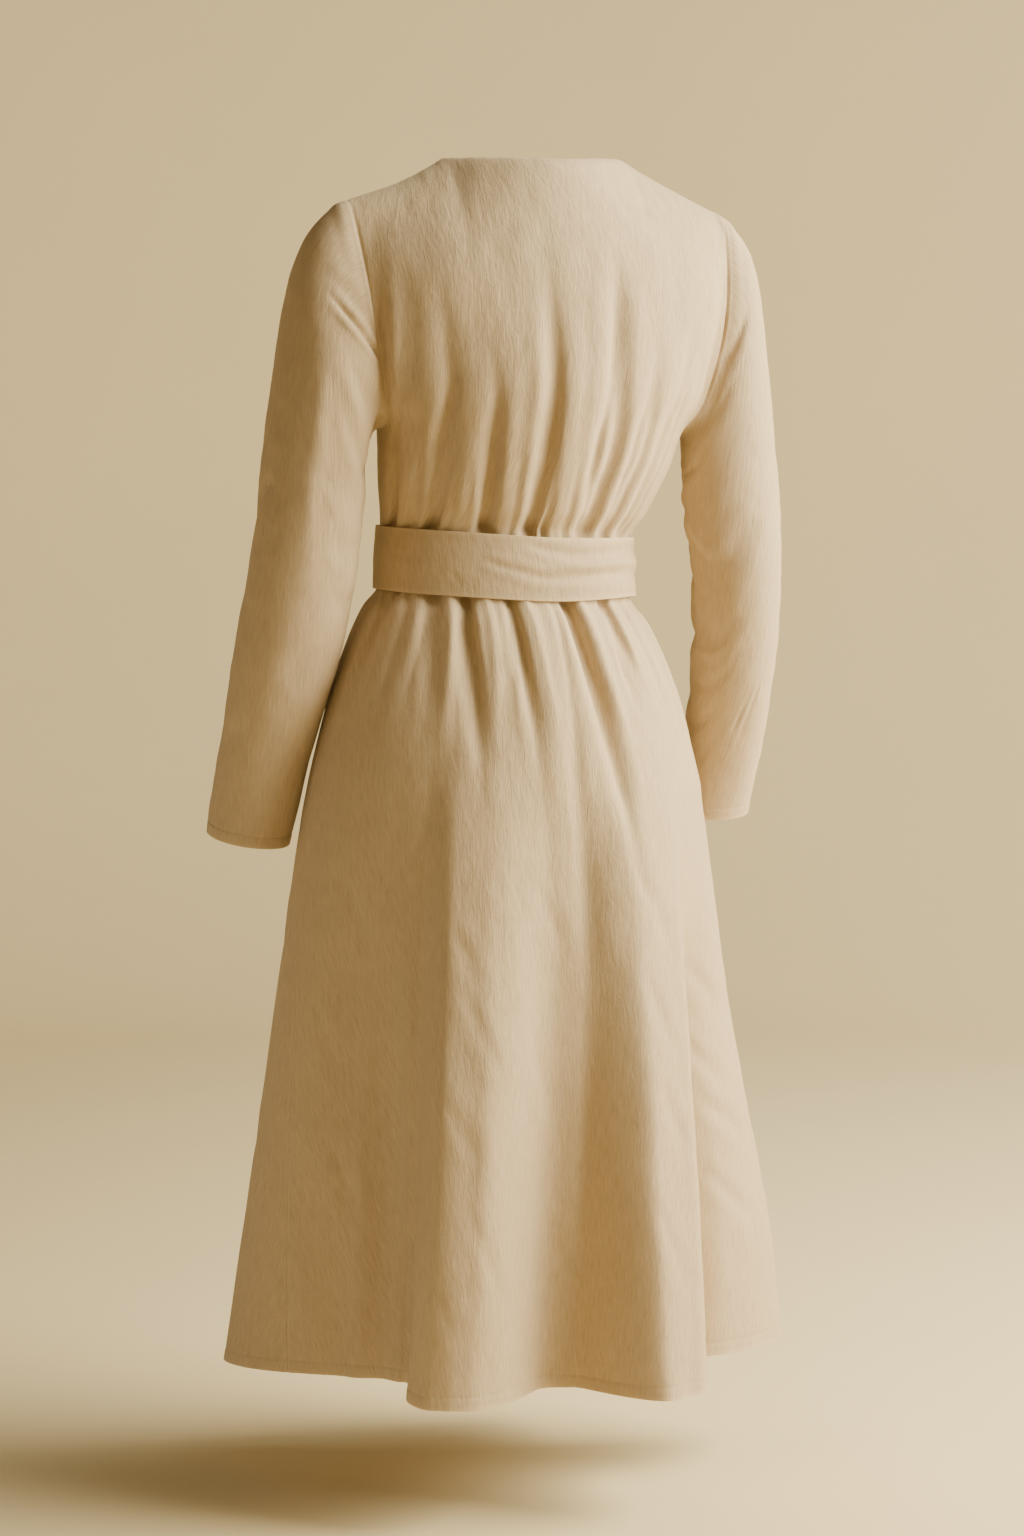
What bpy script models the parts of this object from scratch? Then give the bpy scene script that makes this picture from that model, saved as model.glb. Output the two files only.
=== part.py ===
"""Long-sleeved wrap dress in one plain cloth, filled out as when it is worn, with nobody in it.

The dress faces -Y, the wearer's left is +X, and the origin lies between the shoulders, where the wearer holds
the dress up. Every panel is a sheet of cloth given by a function of two shares, across and along, and each
function reads the short tables below. Lengths are in metres and angles in degrees. A ring's angle runs from
the left side seam (0) over the back (90) and the right side seam (180) to the front (270).
"""
import math
from collections import namedtuple

import bmesh
import bpy
from mathutils import Vector

GARMENT = "wrap_dress"

# Cloth
WALL = 0.0015
SEAM_GAP = 0.0003
SEAM_RELIEF = 0.0002
ARMHOLE_GAP = 0.0009
UNDERLAP = 0.0032
UNDERLAP_SHARE = 0.30
UNDERLAP_FADES_FROM = 0.70
UNDERLAP_ANGLE = 40.0
STEEPEST_SHOULDER = 0.6

# Waist seam: an ellipse on a plane that tips to the wearer's right and to the back
WAIST_X = 0.010
WAIST_Y = -0.022
WAIST_Z = -0.379
WAIST_HALF_WIDTH = 0.129
WAIST_HALF_DEPTH = 0.098
WAIST_TIP_SIDEWAYS = 0.050
WAIST_TIP_BACK = -0.055
WAIST_TIP_FADES_BY = 0.40

# Bodice heights
UNDERARM_SHARE = 0.36
UNDERARM_SIDE_Z = -0.247
UNDERARM_MID_Z = -0.236
SHOULDER_TIP_Z = -0.027
SHOULDER_TIP_Y = 0.020

# Neck: a shallow curve at the back and the top of a V at the front
NECK_SHARE = 0.44
NECK_SIDE_Y = 0.010
NECK_SIDE_Z = 0.024
BACK_NECK_Y = 0.060
BACK_NECK_Z = 0.022
FRONT_NECK_Y = -0.040
FRONT_NECK_Z = -0.030
NECK_BLEND_FROM = 0.70
SHOULDER_SAG = 0.003

# Wrap edges of the front bodice: where they cross at the waist, as a share of the half width
WRAP_EDGE_AT_WAIST = 0.58

# Skirt
SKIRT_LENGTH = 0.802
HEM_Z = -1.181
FLUTES_FROM = 0.15
FLUTE_GROWTH = 1.15
OVER_EDGE_ANGLE = 320.0
UNDER_EDGE_ANGLE = 220.0

# Belt
BELT_WIDTH = 0.063
BELT_WALL = 0.0025
BELT_CLEARANCE = 0.0010
BELT_FLARE = 0.0030
KNOT_ANGLE = 286.0
KNOT_WIDTH = 0.048
KNOT_DEPTH = 0.026
KNOT_HEIGHT = 0.066
KNOT_SQUARENESS = 0.62
KNOT_GAP = 0.0019
BELT_END_WIDTH = 0.058
BELT_END_TOP_WIDTH = 0.026
BELT_END_SETTLE = 0.110
BELT_END_LYING = 0.0016
BELT_END_SWING_POWER = 1.2

BodiceRow = namedtuple("BodiceRow", "share x_mid half_width y_side y_mid span")
BACK_ROWS = (
    BodiceRow(0.00, WAIST_X, WAIST_HALF_WIDTH, WAIST_Y, WAIST_Y + WAIST_HALF_DEPTH, 90.0),
    BodiceRow(0.09, 0.010, 0.1295, -0.021, 0.0765, 90.0),
    BodiceRow(0.14, 0.007, 0.136, -0.010, 0.090, 90.0),
    BodiceRow(0.20, 0.004, 0.143, 0.000, 0.101, 90.0),
    BodiceRow(0.28, -0.002, 0.151, 0.006, 0.112, 90.0),
    BodiceRow(0.36, -0.005, 0.156, 0.012, 0.118, 88.0),
    BodiceRow(0.44, -0.007, 0.160, 0.032, 0.121, 80.0),
    BodiceRow(0.52, -0.010, 0.168, 0.045, 0.120, 72.0),
    BodiceRow(0.68, -0.012, 0.184, 0.054, 0.111, 62.0),
    BodiceRow(0.84, -0.009, 0.193, 0.042, 0.086, 52.0),
    BodiceRow(1.00, -0.007, 0.195, SHOULDER_TIP_Y, BACK_NECK_Y, 42.0),
)
FRONT_ROWS = (
    BodiceRow(0.00, WAIST_X, WAIST_HALF_WIDTH, WAIST_Y, WAIST_Y - WAIST_HALF_DEPTH, 90.0),
    BodiceRow(0.09, 0.010, 0.1295, -0.021, -0.1200, 90.0),
    BodiceRow(0.14, 0.007, 0.136, -0.010, -0.122, 90.0),
    BodiceRow(0.20, 0.004, 0.143, 0.000, -0.125, 90.0),
    BodiceRow(0.28, -0.002, 0.151, 0.006, -0.129, 90.0),
    BodiceRow(0.36, -0.005, 0.156, 0.012, -0.133, 88.0),
    BodiceRow(0.44, -0.007, 0.157, -0.006, -0.134, 82.0),
    BodiceRow(0.52, -0.010, 0.160, -0.018, -0.131, 76.0),
    BodiceRow(0.68, -0.012, 0.170, -0.024, -0.108, 66.0),
    BodiceRow(0.84, -0.009, 0.185, -0.006, -0.070, 56.0),
    BodiceRow(1.00, -0.007, 0.195, SHOULDER_TIP_Y, FRONT_NECK_Y, 42.0),
)

# Gathers of the bodice: a trough's place across at the waist and at its top, and how high it reaches
BodiceFold = namedtuple("BodiceFold", "across_low across_high half_width depth reach")
BACK_FOLDS = (
    BodiceFold(0.87, 0.86, 0.06, 0.0050, 0.42),
    BodiceFold(0.57, 0.56, 0.07, 0.0080, 0.60),
    BodiceFold(0.25, 0.36, 0.07, 0.0090, 0.54),
    BodiceFold(0.05, 0.12, 0.07, 0.0120, 0.76),
    BodiceFold(-0.03, -0.01, 0.04, 0.0050, 0.24),
    BodiceFold(-0.26, -0.24, 0.07, 0.0120, 0.74),
    BodiceFold(-0.40, -0.46, 0.05, 0.0060, 0.60),
    BodiceFold(-0.57, -0.72, 0.05, 0.0070, 0.62),
)
FRONT_FOLDS = (
    BodiceFold(0.72, 0.76, 0.11, 0.0050, 0.40),
    BodiceFold(0.44, 0.50, 0.12, 0.0070, 0.52),
    BodiceFold(0.12, 0.18, 0.12, 0.0060, 0.46),
    BodiceFold(-0.20, -0.24, 0.12, 0.0070, 0.48),
    BodiceFold(-0.48, -0.50, 0.12, 0.0050, 0.54),
    BodiceFold(-0.78, -0.80, 0.10, 0.0050, 0.40),
)
BODICE_FOLD_FROM = 0.05
BODICE_FOLD_FULL = 0.10
BODICE_FOLD_FADES_FROM = 0.35

# Skirt sections, by the drop below the waist seam
SkirtRow = namedtuple("SkirtRow", "drop half_width half_depth")
SKIRT_ROWS = (
    SkirtRow(0.000, WAIST_HALF_WIDTH, WAIST_HALF_DEPTH),
    SkirtRow(0.030, 0.131, 0.100),
    SkirtRow(0.050, 0.146, 0.113),
    SkirtRow(0.085, 0.163, 0.126),
    SkirtRow(0.135, 0.181, 0.139),
    SkirtRow(0.225, 0.201, 0.153),
    SkirtRow(0.345, 0.215, 0.167),
    SkirtRow(0.525, 0.231, 0.188),
    SkirtRow(0.802, 0.258, 0.212),
)

# Gathers of the skirt: a trough's angle under the belt and at its low end, and the drop where it ends
SkirtFold = namedtuple("SkirtFold", "angle_top angle_low half_width depth end_drop")
SKIRT_FOLDS = (
    SkirtFold(17.0, 17.0, 8.0, 0.007, 0.20),
    SkirtFold(40.0, 53.0, 6.0, 0.006, 0.17),
    SkirtFold(55.0, 71.0, 6.0, 0.013, 0.22),
    SkirtFold(75.0, 87.0, 5.0, 0.009, 0.20),
    SkirtFold(102.0, 114.0, 7.5, 0.016, 0.28),
    SkirtFold(125.0, 122.0, 6.0, 0.010, 0.15),
    SkirtFold(161.0, 157.0, 6.0, 0.006, 0.17),
    SkirtFold(200.0, 203.0, 7.0, 0.008, 0.18),
    SkirtFold(226.0, 223.0, 7.0, 0.009, 0.20),
    SkirtFold(248.0, 247.0, 6.0, 0.007, 0.15),
    SkirtFold(268.0, 266.0, 7.0, 0.009, 0.18),
    SkirtFold(290.0, 292.0, 7.0, 0.010, 0.21),
    SkirtFold(312.0, 316.0, 7.0, 0.010, 0.19),
    SkirtFold(338.0, 336.0, 7.0, 0.008, 0.18),
)

SKIRT_FOLD_FROM = 0.012
SKIRT_FOLD_FULL = 0.0315
SKIRT_FOLD_FADES_FROM = 0.25

# Flutes of the skirt: a crest or a valley, its angle at the hips and at the hem, its reach at the hem, and the
# drops where it starts and where it is full
Flute = namedtuple("Flute", "angle_hip angle_hem reach start full")
FLUTES = (
    Flute(32.0, 17.0, -0.072, 0.15, SKIRT_LENGTH),
    Flute(43.0, 28.5, -0.081, 0.15, SKIRT_LENGTH),
    Flute(53.0, 39.5, -0.070, 0.15, SKIRT_LENGTH),
    Flute(62.0, 59.0, 0.028, 0.15, SKIRT_LENGTH),
    Flute(71.0, 65.5, 0.028, 0.15, SKIRT_LENGTH),
    Flute(91.5, 86.5, -0.055, 0.15, SKIRT_LENGTH),
    Flute(99.0, 93.5, -0.050, 0.15, SKIRT_LENGTH),
    Flute(114.0, 105.5, 0.042, 0.15, SKIRT_LENGTH),
    Flute(129.0, 113.5, 0.036, 0.15, SKIRT_LENGTH),
    Flute(145.0, 134.5, -0.050, 0.22, 0.46),
    Flute(158.0, 145.0, -0.052, 0.22, 0.46),
    Flute(192.0, 188.5, 0.060, 0.05, 0.70),
    Flute(214.0, 214.0, -0.034, 0.15, SKIRT_LENGTH),
    Flute(238.0, 238.0, 0.034, 0.15, SKIRT_LENGTH),
    Flute(263.0, 263.0, -0.036, 0.15, SKIRT_LENGTH),
    Flute(290.0, 289.0, 0.034, 0.15, SKIRT_LENGTH),
    Flute(315.0, 314.0, -0.040, 0.15, SKIRT_LENGTH),
    Flute(344.5, 338.5, 0.034, 0.15, SKIRT_LENGTH),
)

# Sleeve sections from the armhole to the cuff: the cap side, the underarm side, and the ring's front-back half
SleeveRow = namedtuple("SleeveRow", "share outer_x outer_z inner_x inner_z y_mid half_depth pitch")
LEFT_SLEEVE_ROWS = (
    SleeveRow(0.00, 0.189, -0.027, 0.153, -0.247, 0.014, 0.042, 0.0),
    SleeveRow(0.05, 0.210, -0.040, 0.156, -0.247, 0.013, 0.046, 0.0),
    SleeveRow(0.11, 0.228, -0.062, 0.159, -0.250, 0.012, 0.049, 0.0),
    SleeveRow(0.18, 0.243, -0.100, 0.162, -0.256, 0.010, 0.052, 0.0),
    SleeveRow(0.27, 0.252, -0.155, 0.165, -0.272, 0.008, 0.053, 0.0),
    SleeveRow(0.40, 0.264, -0.240, 0.168, -0.310, 0.003, 0.052, 2.0),
    SleeveRow(0.58, 0.276, -0.365, 0.173, -0.385, -0.006, 0.049, 5.0),
    SleeveRow(0.72, 0.288, -0.465, 0.183, -0.470, -0.028, 0.048, 12.0),
    SleeveRow(0.86, 0.294, -0.562, 0.203, -0.566, -0.064, 0.044, 14.0),
    SleeveRow(1.00, 0.300, -0.648, 0.217, -0.656, -0.092, 0.041, 13.0),
)
RIGHT_SLEEVE_ROWS = (
    SleeveRow(0.00, 0.202, -0.027, 0.163, -0.247, 0.014, 0.042, 0.0),
    SleeveRow(0.05, 0.219, -0.040, 0.166, -0.247, 0.013, 0.046, 0.0),
    SleeveRow(0.11, 0.235, -0.062, 0.169, -0.250, 0.012, 0.049, 0.0),
    SleeveRow(0.18, 0.247, -0.100, 0.171, -0.256, 0.010, 0.052, 0.0),
    SleeveRow(0.27, 0.256, -0.155, 0.172, -0.272, 0.008, 0.054, 0.0),
    SleeveRow(0.40, 0.267, -0.240, 0.174, -0.310, 0.003, 0.053, 2.0),
    SleeveRow(0.58, 0.279, -0.365, 0.185, -0.375, -0.004, 0.052, 5.0),
    SleeveRow(0.72, 0.285, -0.460, 0.199, -0.464, -0.026, 0.049, 12.0),
    SleeveRow(0.86, 0.285, -0.556, 0.204, -0.560, -0.060, 0.045, 14.0),
    SleeveRow(1.00, 0.281, -0.632, 0.201, -0.636, -0.088, 0.042, 13.0),
)
CAP_BLEND_TO = 0.24

# Hanging belt ends: how low each one reaches, how far it swings round, and how far out it lies
BeltEnd = namedtuple("BeltEnd", "name length swing layer")
BELT_ENDS = (
    BeltEnd("belt_end_under", 0.300, 9.0, 0.0),
    BeltEnd("belt_end_over", 0.340, -8.0, BELT_WALL + 0.0020),
)

# How finely each panel is divided
BODICE_COLUMNS = 36
SIDE_SHARES = (0.0, 0.05, 0.09, 0.15, 0.21, 0.28)
ARMHOLE_ROWS = 8
SKIRT_STEP = 4.0
SKIRT_DROPS = (0.0, 0.012, 0.033, 0.052, 0.080, 0.115, 0.155, 0.205, 0.270, 0.350, 0.440, 0.530, 0.620, 0.710, 0.802)
SLEEVE_LEVELS = (0.0, 0.05, 0.11, 0.18, 0.25, 0.32, 0.39, 0.46, 0.53, 0.60, 0.67, 0.74, 0.83, 0.92, 1.0)
BELT_STEP = 5.0
BELT_END_COLUMNS = 5
BELT_END_ROWS = 16
KNOT_SEGMENTS = 20
KNOT_RINGS = 12

# Finish: one cloth for the whole dress, slightly darker on the belt and on the pieces that lie under
CLOTH_COLOUR = (0.61, 0.48, 0.32, 1.0)
BELT_COLOUR = (0.57, 0.44, 0.29, 1.0)
CLOTH_ROUGHNESS = 0.92


def smooth_step(share):
    """Ease from 0 to 1."""
    share = min(max(share, 0.0), 1.0)
    return share * share * (3.0 - 2.0 * share)


def mix(low, high, share):
    return low + (high - low) * share


def bump(distance):
    """A soft hump, 1 in the middle and 0 from a distance of 1 outwards."""
    if abs(distance) >= 1.0:
        return 0.0
    return 0.5 + 0.5 * math.cos(math.pi * distance)


def read_table(rows, position, column):
    """The smooth curve through one column of a table whose first column is the position."""
    keys = [row[0] for row in rows]
    values = [getattr(row, column) for row in rows]
    if position <= keys[0]:
        return values[0]
    if position >= keys[-1]:
        return values[-1]
    last = len(keys) - 1
    k = max(i for i in range(last) if keys[i] <= position)
    slopes = []
    for i in (k, k + 1):
        before = max(i - 1, 0)
        after = min(i + 1, last)
        slopes.append((values[after] - values[before]) / (keys[after] - keys[before]))
    step = keys[k + 1] - keys[k]
    t = (position - keys[k]) / step
    start = (1.0 + 2.0 * t) * (1.0 - t) ** 2 * values[k] + t * (1.0 - t) ** 2 * step * slopes[0]
    end = t * t * (3.0 - 2.0 * t) * values[k + 1] - t * t * (1.0 - t) * step * slopes[1]
    return start + end


def waist_rise(x, y):
    """How far the tipped waist plane stands above its middle."""
    return WAIST_TIP_SIDEWAYS * (x - WAIST_X) + WAIST_TIP_BACK * (y - WAIST_Y)


def bodice_height(share, waist, underarm, top):
    """Height along a column: even below the underarm, and eased round the armhole above it."""
    if share <= UNDERARM_SHARE:
        return mix(waist, underarm, share / UNDERARM_SHARE)
    turn = (share - UNDERARM_SHARE) / (1.0 - UNDERARM_SHARE)
    return mix(underarm, top, 0.5 - 0.5 * math.cos(math.pi * turn))


def top_line(across, row, neck_y, neck_z):
    """The top edge of a bodice sheet: a shoulder seam on each side and the neck between them."""
    reach = abs(across)
    side = 1.0 if across >= 0.0 else -1.0
    neck_x = row.half_width * math.sin(math.radians(NECK_SHARE * row.span)) / math.sin(math.radians(row.span))
    if reach <= NECK_SHARE:
        curve = (reach / NECK_SHARE) ** 2
        x = row.half_width * math.sin(math.radians(across * row.span)) / math.sin(math.radians(row.span))
        return Vector((row.x_mid + x, mix(neck_y, NECK_SIDE_Y, curve), mix(neck_z, NECK_SIDE_Z, curve)))
    along = (reach - NECK_SHARE) / (1.0 - NECK_SHARE)
    x = side * mix(neck_x, row.half_width, along)
    z = mix(NECK_SIDE_Z, SHOULDER_TIP_Z, along) - SHOULDER_SAG * math.sin(math.pi * along)
    return Vector((row.x_mid + x, mix(NECK_SIDE_Y, SHOULDER_TIP_Y, along), z))


def bodice_arc(rows, across, share):
    """A point of the plain bodice sheet, and the way out of it."""
    x_mid = read_table(rows, share, "x_mid")
    half_width = read_table(rows, share, "half_width")
    y_side = read_table(rows, share, "y_side")
    y_mid = read_table(rows, share, "y_mid")
    span = math.radians(read_table(rows, share, "span"))
    bulge = (math.cos(across * span) - math.cos(span)) / (1.0 - math.cos(span))
    x = x_mid + half_width * math.sin(across * span) / math.sin(span)
    y = mix(y_side, y_mid, bulge)
    z_side = bodice_height(share, WAIST_Z, UNDERARM_SIDE_Z, SHOULDER_TIP_Z)
    z_mid = bodice_height(share, WAIST_Z, UNDERARM_MID_Z, rows_neck_z(rows))
    z = mix(z_side, z_mid, 1.0 - across * across)
    z += waist_rise(x, y) * (1.0 - smooth_step(share / UNDERARM_SHARE))
    facing = 1.0 if y_mid > y_side else -1.0
    out = Vector((math.sin(across * span) / half_width, facing * math.cos(across * span) / abs(y_mid - y_side), 0.0))
    return Vector((x, y, z)), out.normalized()


def rows_neck_z(rows):
    return BACK_NECK_Z if rows is BACK_ROWS else FRONT_NECK_Z


def bodice_folds(folds, across, share):
    """How far the gathers draw the sheet in."""
    total = 0.0
    for fold in folds:
        middle = mix(fold.across_low, fold.across_high, min(share / fold.reach, 1.0))
        rise = smooth_step((share - BODICE_FOLD_FROM) / (BODICE_FOLD_FULL - BODICE_FOLD_FROM))
        fade = 1.0 - smooth_step((share / fold.reach - BODICE_FOLD_FADES_FROM) / (1.0 - BODICE_FOLD_FADES_FROM))
        total -= fold.depth * rise * fade * bump((across - middle) / fold.half_width)
    return total


def bodice_point(rows, folds, across, share, inward=0.0):
    """A point of a bodice sheet, across from -1 (right) to 1 (left), along from the waist (0) to the top (1)."""
    point, out = bodice_arc(rows, across, share)
    if share > NECK_BLEND_FROM:
        neck_y = BACK_NECK_Y if rows is BACK_ROWS else FRONT_NECK_Y
        top_arc, _ = bodice_arc(rows, across, 1.0)
        blend = smooth_step((share - NECK_BLEND_FROM) / (1.0 - NECK_BLEND_FROM))
        point += (top_line(across, rows[-1], neck_y, rows_neck_z(rows)) - top_arc) * blend
    return point + out * (bodice_folds(folds, across, share) - inward)


def flute_reach(angle, drop):
    """How far the flutes carry the skirt out or in at an angle."""
    places = []
    for flute in FLUTES:
        grown = min(max((drop - flute.start) / (flute.full - flute.start), 0.0), 1.0)
        turned = min(max((drop - FLUTES_FROM) / (SKIRT_LENGTH - FLUTES_FROM), 0.0), 1.0)
        middle = mix(flute.angle_hip, flute.angle_hem, turned)
        places.append((middle, flute.reach * grown ** FLUTE_GROWTH))
    places = [(places[-1][0] - 360.0, places[-1][1])] + places + [(places[0][0] + 360.0, places[0][1])]
    for (low, low_reach), (high, high_reach) in zip(places, places[1:]):
        if low <= angle <= high:
            return mix(low_reach, high_reach, smooth_step((angle - low) / (high - low)))
    raise ValueError("no flute beside the angle")


def skirt_gathers(angle, drop):
    """How far the gathers under the belt draw the skirt in."""
    total = 0.0
    for fold in SKIRT_FOLDS:
        share = drop / fold.end_drop
        middle = mix(fold.angle_top, fold.angle_low, min(share, 1.0))
        away = (angle - middle + 180.0) % 360.0 - 180.0
        fade = 1.0 - smooth_step((share - SKIRT_FOLD_FADES_FROM) / (1.0 - SKIRT_FOLD_FADES_FROM))
        rise = smooth_step((drop - SKIRT_FOLD_FROM) / (SKIRT_FOLD_FULL - SKIRT_FOLD_FROM))
        total -= fold.depth * rise * fade * bump(away / fold.half_width)
    return total


def skirt_point(angle, drop, inward=0.0):
    """A point of the skirt, by the ring's angle and the drop below the waist seam."""
    half_width = read_table(SKIRT_ROWS, drop, "half_width")
    half_depth = read_table(SKIRT_ROWS, drop, "half_depth")
    turn = math.radians(angle)
    out = Vector((math.cos(turn) / half_width, math.sin(turn) / half_depth, 0.0)).normalized()
    point = Vector((WAIST_X + half_width * math.cos(turn), WAIST_Y + half_depth * math.sin(turn), 0.0))
    share = drop / SKIRT_LENGTH
    tip = 1.0 - smooth_step(share / WAIST_TIP_FADES_BY)
    point.z = mix(WAIST_Z, HEM_Z, share) + waist_rise(point.x, point.y) * tip
    radial = Vector((math.cos(turn), math.sin(turn), 0.0))
    return point + radial * flute_reach(angle % 360.0, drop) + out * (skirt_gathers(angle, drop) - inward)


def underlap(distance_from_side, full_from):
    """How deep the under wrap lies: level at its side seam, and a wall further in where it is overlapped."""
    return UNDERLAP * smooth_step(distance_from_side / full_from)


def sheet(name, columns, rows, place, flip=False):
    """A panel: a grid whose corners are placed by a function, given its wall towards the inside."""
    mesh = bpy.data.meshes.new(name)
    bm = bmesh.new()
    bmesh.ops.create_grid(bm, x_segments=len(columns) - 1, y_segments=len(rows) - 1, size=1.0)
    across = bm.verts.layers.float.new("across")
    along = bm.verts.layers.float.new("along")
    for vertex in bm.verts:
        i = round((vertex.co.x + 1.0) / 2.0 * (len(columns) - 1))
        j = round((vertex.co.y + 1.0) / 2.0 * (len(rows) - 1))
        vertex.co = place(columns[i], rows[j])
        vertex[across] = columns[i]
        vertex[along] = rows[j]
    if flip:
        bmesh.ops.reverse_faces(bm, faces=bm.faces)
    bm.to_mesh(mesh)
    bm.free()
    return mesh


def close_tube(mesh):
    """Join the two long edges of a sheet that was rolled into a tube."""
    bm = bmesh.new()
    bm.from_mesh(mesh)
    bmesh.ops.remove_doubles(bm, verts=bm.verts, dist=0.00001)
    bm.to_mesh(mesh)
    bm.free()


def cut_edge(mesh, point, normal):
    """Cut a panel along a straight line and drop the part on the normal's side."""
    bm = bmesh.new()
    bm.from_mesh(mesh)
    geometry = list(bm.verts) + list(bm.edges) + list(bm.faces)
    bmesh.ops.bisect_plane(bm, geom=geometry, dist=0.0001, plane_co=point, plane_no=normal, clear_outer=True)
    bm.to_mesh(mesh)
    bm.free()


def cloth_piece(name, mesh, collection, material, wall=WALL, offset=-1.0):
    """An object for a panel, with its wall as a Solidify modifier."""
    mesh.materials.append(material)
    mesh.shade_smooth()
    piece = bpy.data.objects.new(name, mesh)
    solidify = piece.modifiers.new("cloth wall", 'SOLIDIFY')
    solidify.thickness = wall
    solidify.offset = offset
    solidify.use_even_offset = True
    collection.objects.link(piece)
    return piece


def mitre_shoulders(piece):
    """Bring the inside of the wall straight below the shoulder seams, so that back and front meet flush."""
    bpy.context.view_layer.update()
    walled = bpy.data.meshes.new_from_object(piece.evaluated_get(bpy.context.evaluated_depsgraph_get()))
    count = len(piece.data.vertices)
    for i in range(count):
        on_top = walled.attributes["along"].data[i].value > 1.0 - SEAM_GAP
        on_shoulder = abs(walled.attributes["across"].data[i].value) > NECK_SHARE - SEAM_GAP
        if on_top and on_shoulder:
            outer = walled.vertices[i].co
            inner = walled.vertices[i + count].co
            slope = max((outer.z - inner.z) / (outer - inner).length, STEEPEST_SHOULDER)
            walled.vertices[i + count].co = outer - Vector((0.0, 0.0, WALL / slope))
    piece.modifiers.clear()
    piece.data = walled


def new_material(name, colour):
    material = bpy.data.materials.new(name)
    material.use_nodes = True
    shader = material.node_tree.nodes["Principled BSDF"]
    shader.inputs["Base Color"].default_value = colour
    shader.inputs["Roughness"].default_value = CLOTH_ROUGHNESS
    shader.inputs["Metallic"].default_value = 0.0
    return material


def bodice_levels():
    armhole = [mix(UNDERARM_SHARE, 1.0, k / ARMHOLE_ROWS) for k in range(ARMHOLE_ROWS + 1)]
    return list(SIDE_SHARES) + armhole


def bodice_columns():
    """Columns across a bodice sheet, with one at each end of the neck."""
    half = BODICE_COLUMNS // 2
    inner = round(half * NECK_SHARE)
    right = [-1.0 + (1.0 - NECK_SHARE) * k / (half - inner) for k in range(half - inner)]
    middle = [-NECK_SHARE + NECK_SHARE * k / inner for k in range(2 * inner + 1)]
    left = [-value for value in reversed(right)]
    return right + middle + left


def build_bodice(collection, material):
    """The gathered back, and the two fronts that wrap right over left."""
    columns = bodice_columns()
    levels = bodice_levels()
    seam_half = 0.5 * SEAM_GAP + SEAM_RELIEF
    rise = Vector((0.0, 0.0, 0.5 * SEAM_GAP))

    def seam_shift(rows, across, share):
        """Room for the seams at the sides, the waist and the shoulders."""
        facing = 1.0 if rows is BACK_ROWS else -1.0
        shift = Vector((0.0, 0.0, 0.0))
        if abs(across) == 1.0:
            shift.y += facing * seam_half
        if share == 0.0:
            shift += rise
        if share == 1.0:
            shift.y += facing * seam_half
        return shift

    def back(across, share):
        return bodice_point(BACK_ROWS, BACK_FOLDS, across, share) + seam_shift(BACK_ROWS, across, share)

    def over(across, share):
        return bodice_point(FRONT_ROWS, FRONT_FOLDS, across, share) + seam_shift(FRONT_ROWS, across, share)

    def under(across, share):
        fade = 1.0 - smooth_step((share - UNDERLAP_FADES_FROM) / (1.0 - UNDERLAP_FADES_FROM))
        inward = underlap(1.0 - across, UNDERLAP_SHARE) * fade
        return bodice_point(FRONT_ROWS, FRONT_FOLDS, across, share, inward) + seam_shift(FRONT_ROWS, across, share)

    back_sheet = sheet("bodice_back", columns, levels, back, flip=True)
    mitre_shoulders(cloth_piece("bodice_back", back_sheet, collection, material))

    neck_right = bodice_point(FRONT_ROWS, (), -NECK_SHARE, 1.0)
    neck_left = bodice_point(FRONT_ROWS, (), NECK_SHARE, 1.0)
    waist_left = bodice_point(FRONT_ROWS, (), WRAP_EDGE_AT_WAIST, 0.0)
    waist_right = bodice_point(FRONT_ROWS, (), -WRAP_EDGE_AT_WAIST, 0.0)
    front_right = sheet("bodice_front_right", columns, levels, over)
    cut_edge(front_right, neck_right, edge_normal(neck_right, waist_left, 1.0))
    mitre_shoulders(cloth_piece("bodice_front_right", front_right, collection, material))
    front_left = sheet("bodice_front_left", columns, levels, under)
    cut_edge(front_left, neck_left, edge_normal(neck_left, waist_right, -1.0))
    mitre_shoulders(cloth_piece("bodice_front_left", front_left, collection, material))


def edge_normal(top, bottom, side):
    """The normal of the upright plane through a wrap edge, pointing to the wearer's left for side 1."""
    run = bottom - top
    normal = Vector((-run.z, 0.0, run.x))
    return normal.normalized() * side


def build_skirt(collection, material):
    """The back panel and the two wrapped fronts, which overlap from one wrap edge to the other."""
    drop_shift = Vector((0.0, 0.0, -0.5 * SEAM_GAP))

    def panel(name, start, stop, under_from=None):
        count = round((stop - start) / SKIRT_STEP)
        angles = [mix(start, stop, k / count) for k in range(count + 1)]

        def place(angle, drop):
            inward = 0.0
            if under_from is not None:
                inward = underlap(under_from - angle, UNDERLAP_ANGLE)
            point = skirt_point(angle, drop, inward)
            if drop == 0.0:
                point += drop_shift
            if angle in (start, stop):
                towards = math.radians(angle + (90.0 if angle == start else -90.0))
                point += Vector((math.cos(towards), math.sin(towards), 0.0)) * (0.5 * SEAM_GAP + SEAM_RELIEF)
            return point

        mesh = sheet(name, angles, SKIRT_DROPS, place, flip=True)
        cloth_piece(name, mesh, collection, material)

    panel("skirt_back", 0.0, 180.0)
    panel("skirt_front_right", 180.0, OVER_EDGE_ANGLE)
    panel("skirt_front_left", UNDER_EDGE_ANGLE, 360.0, under_from=360.0)


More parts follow.
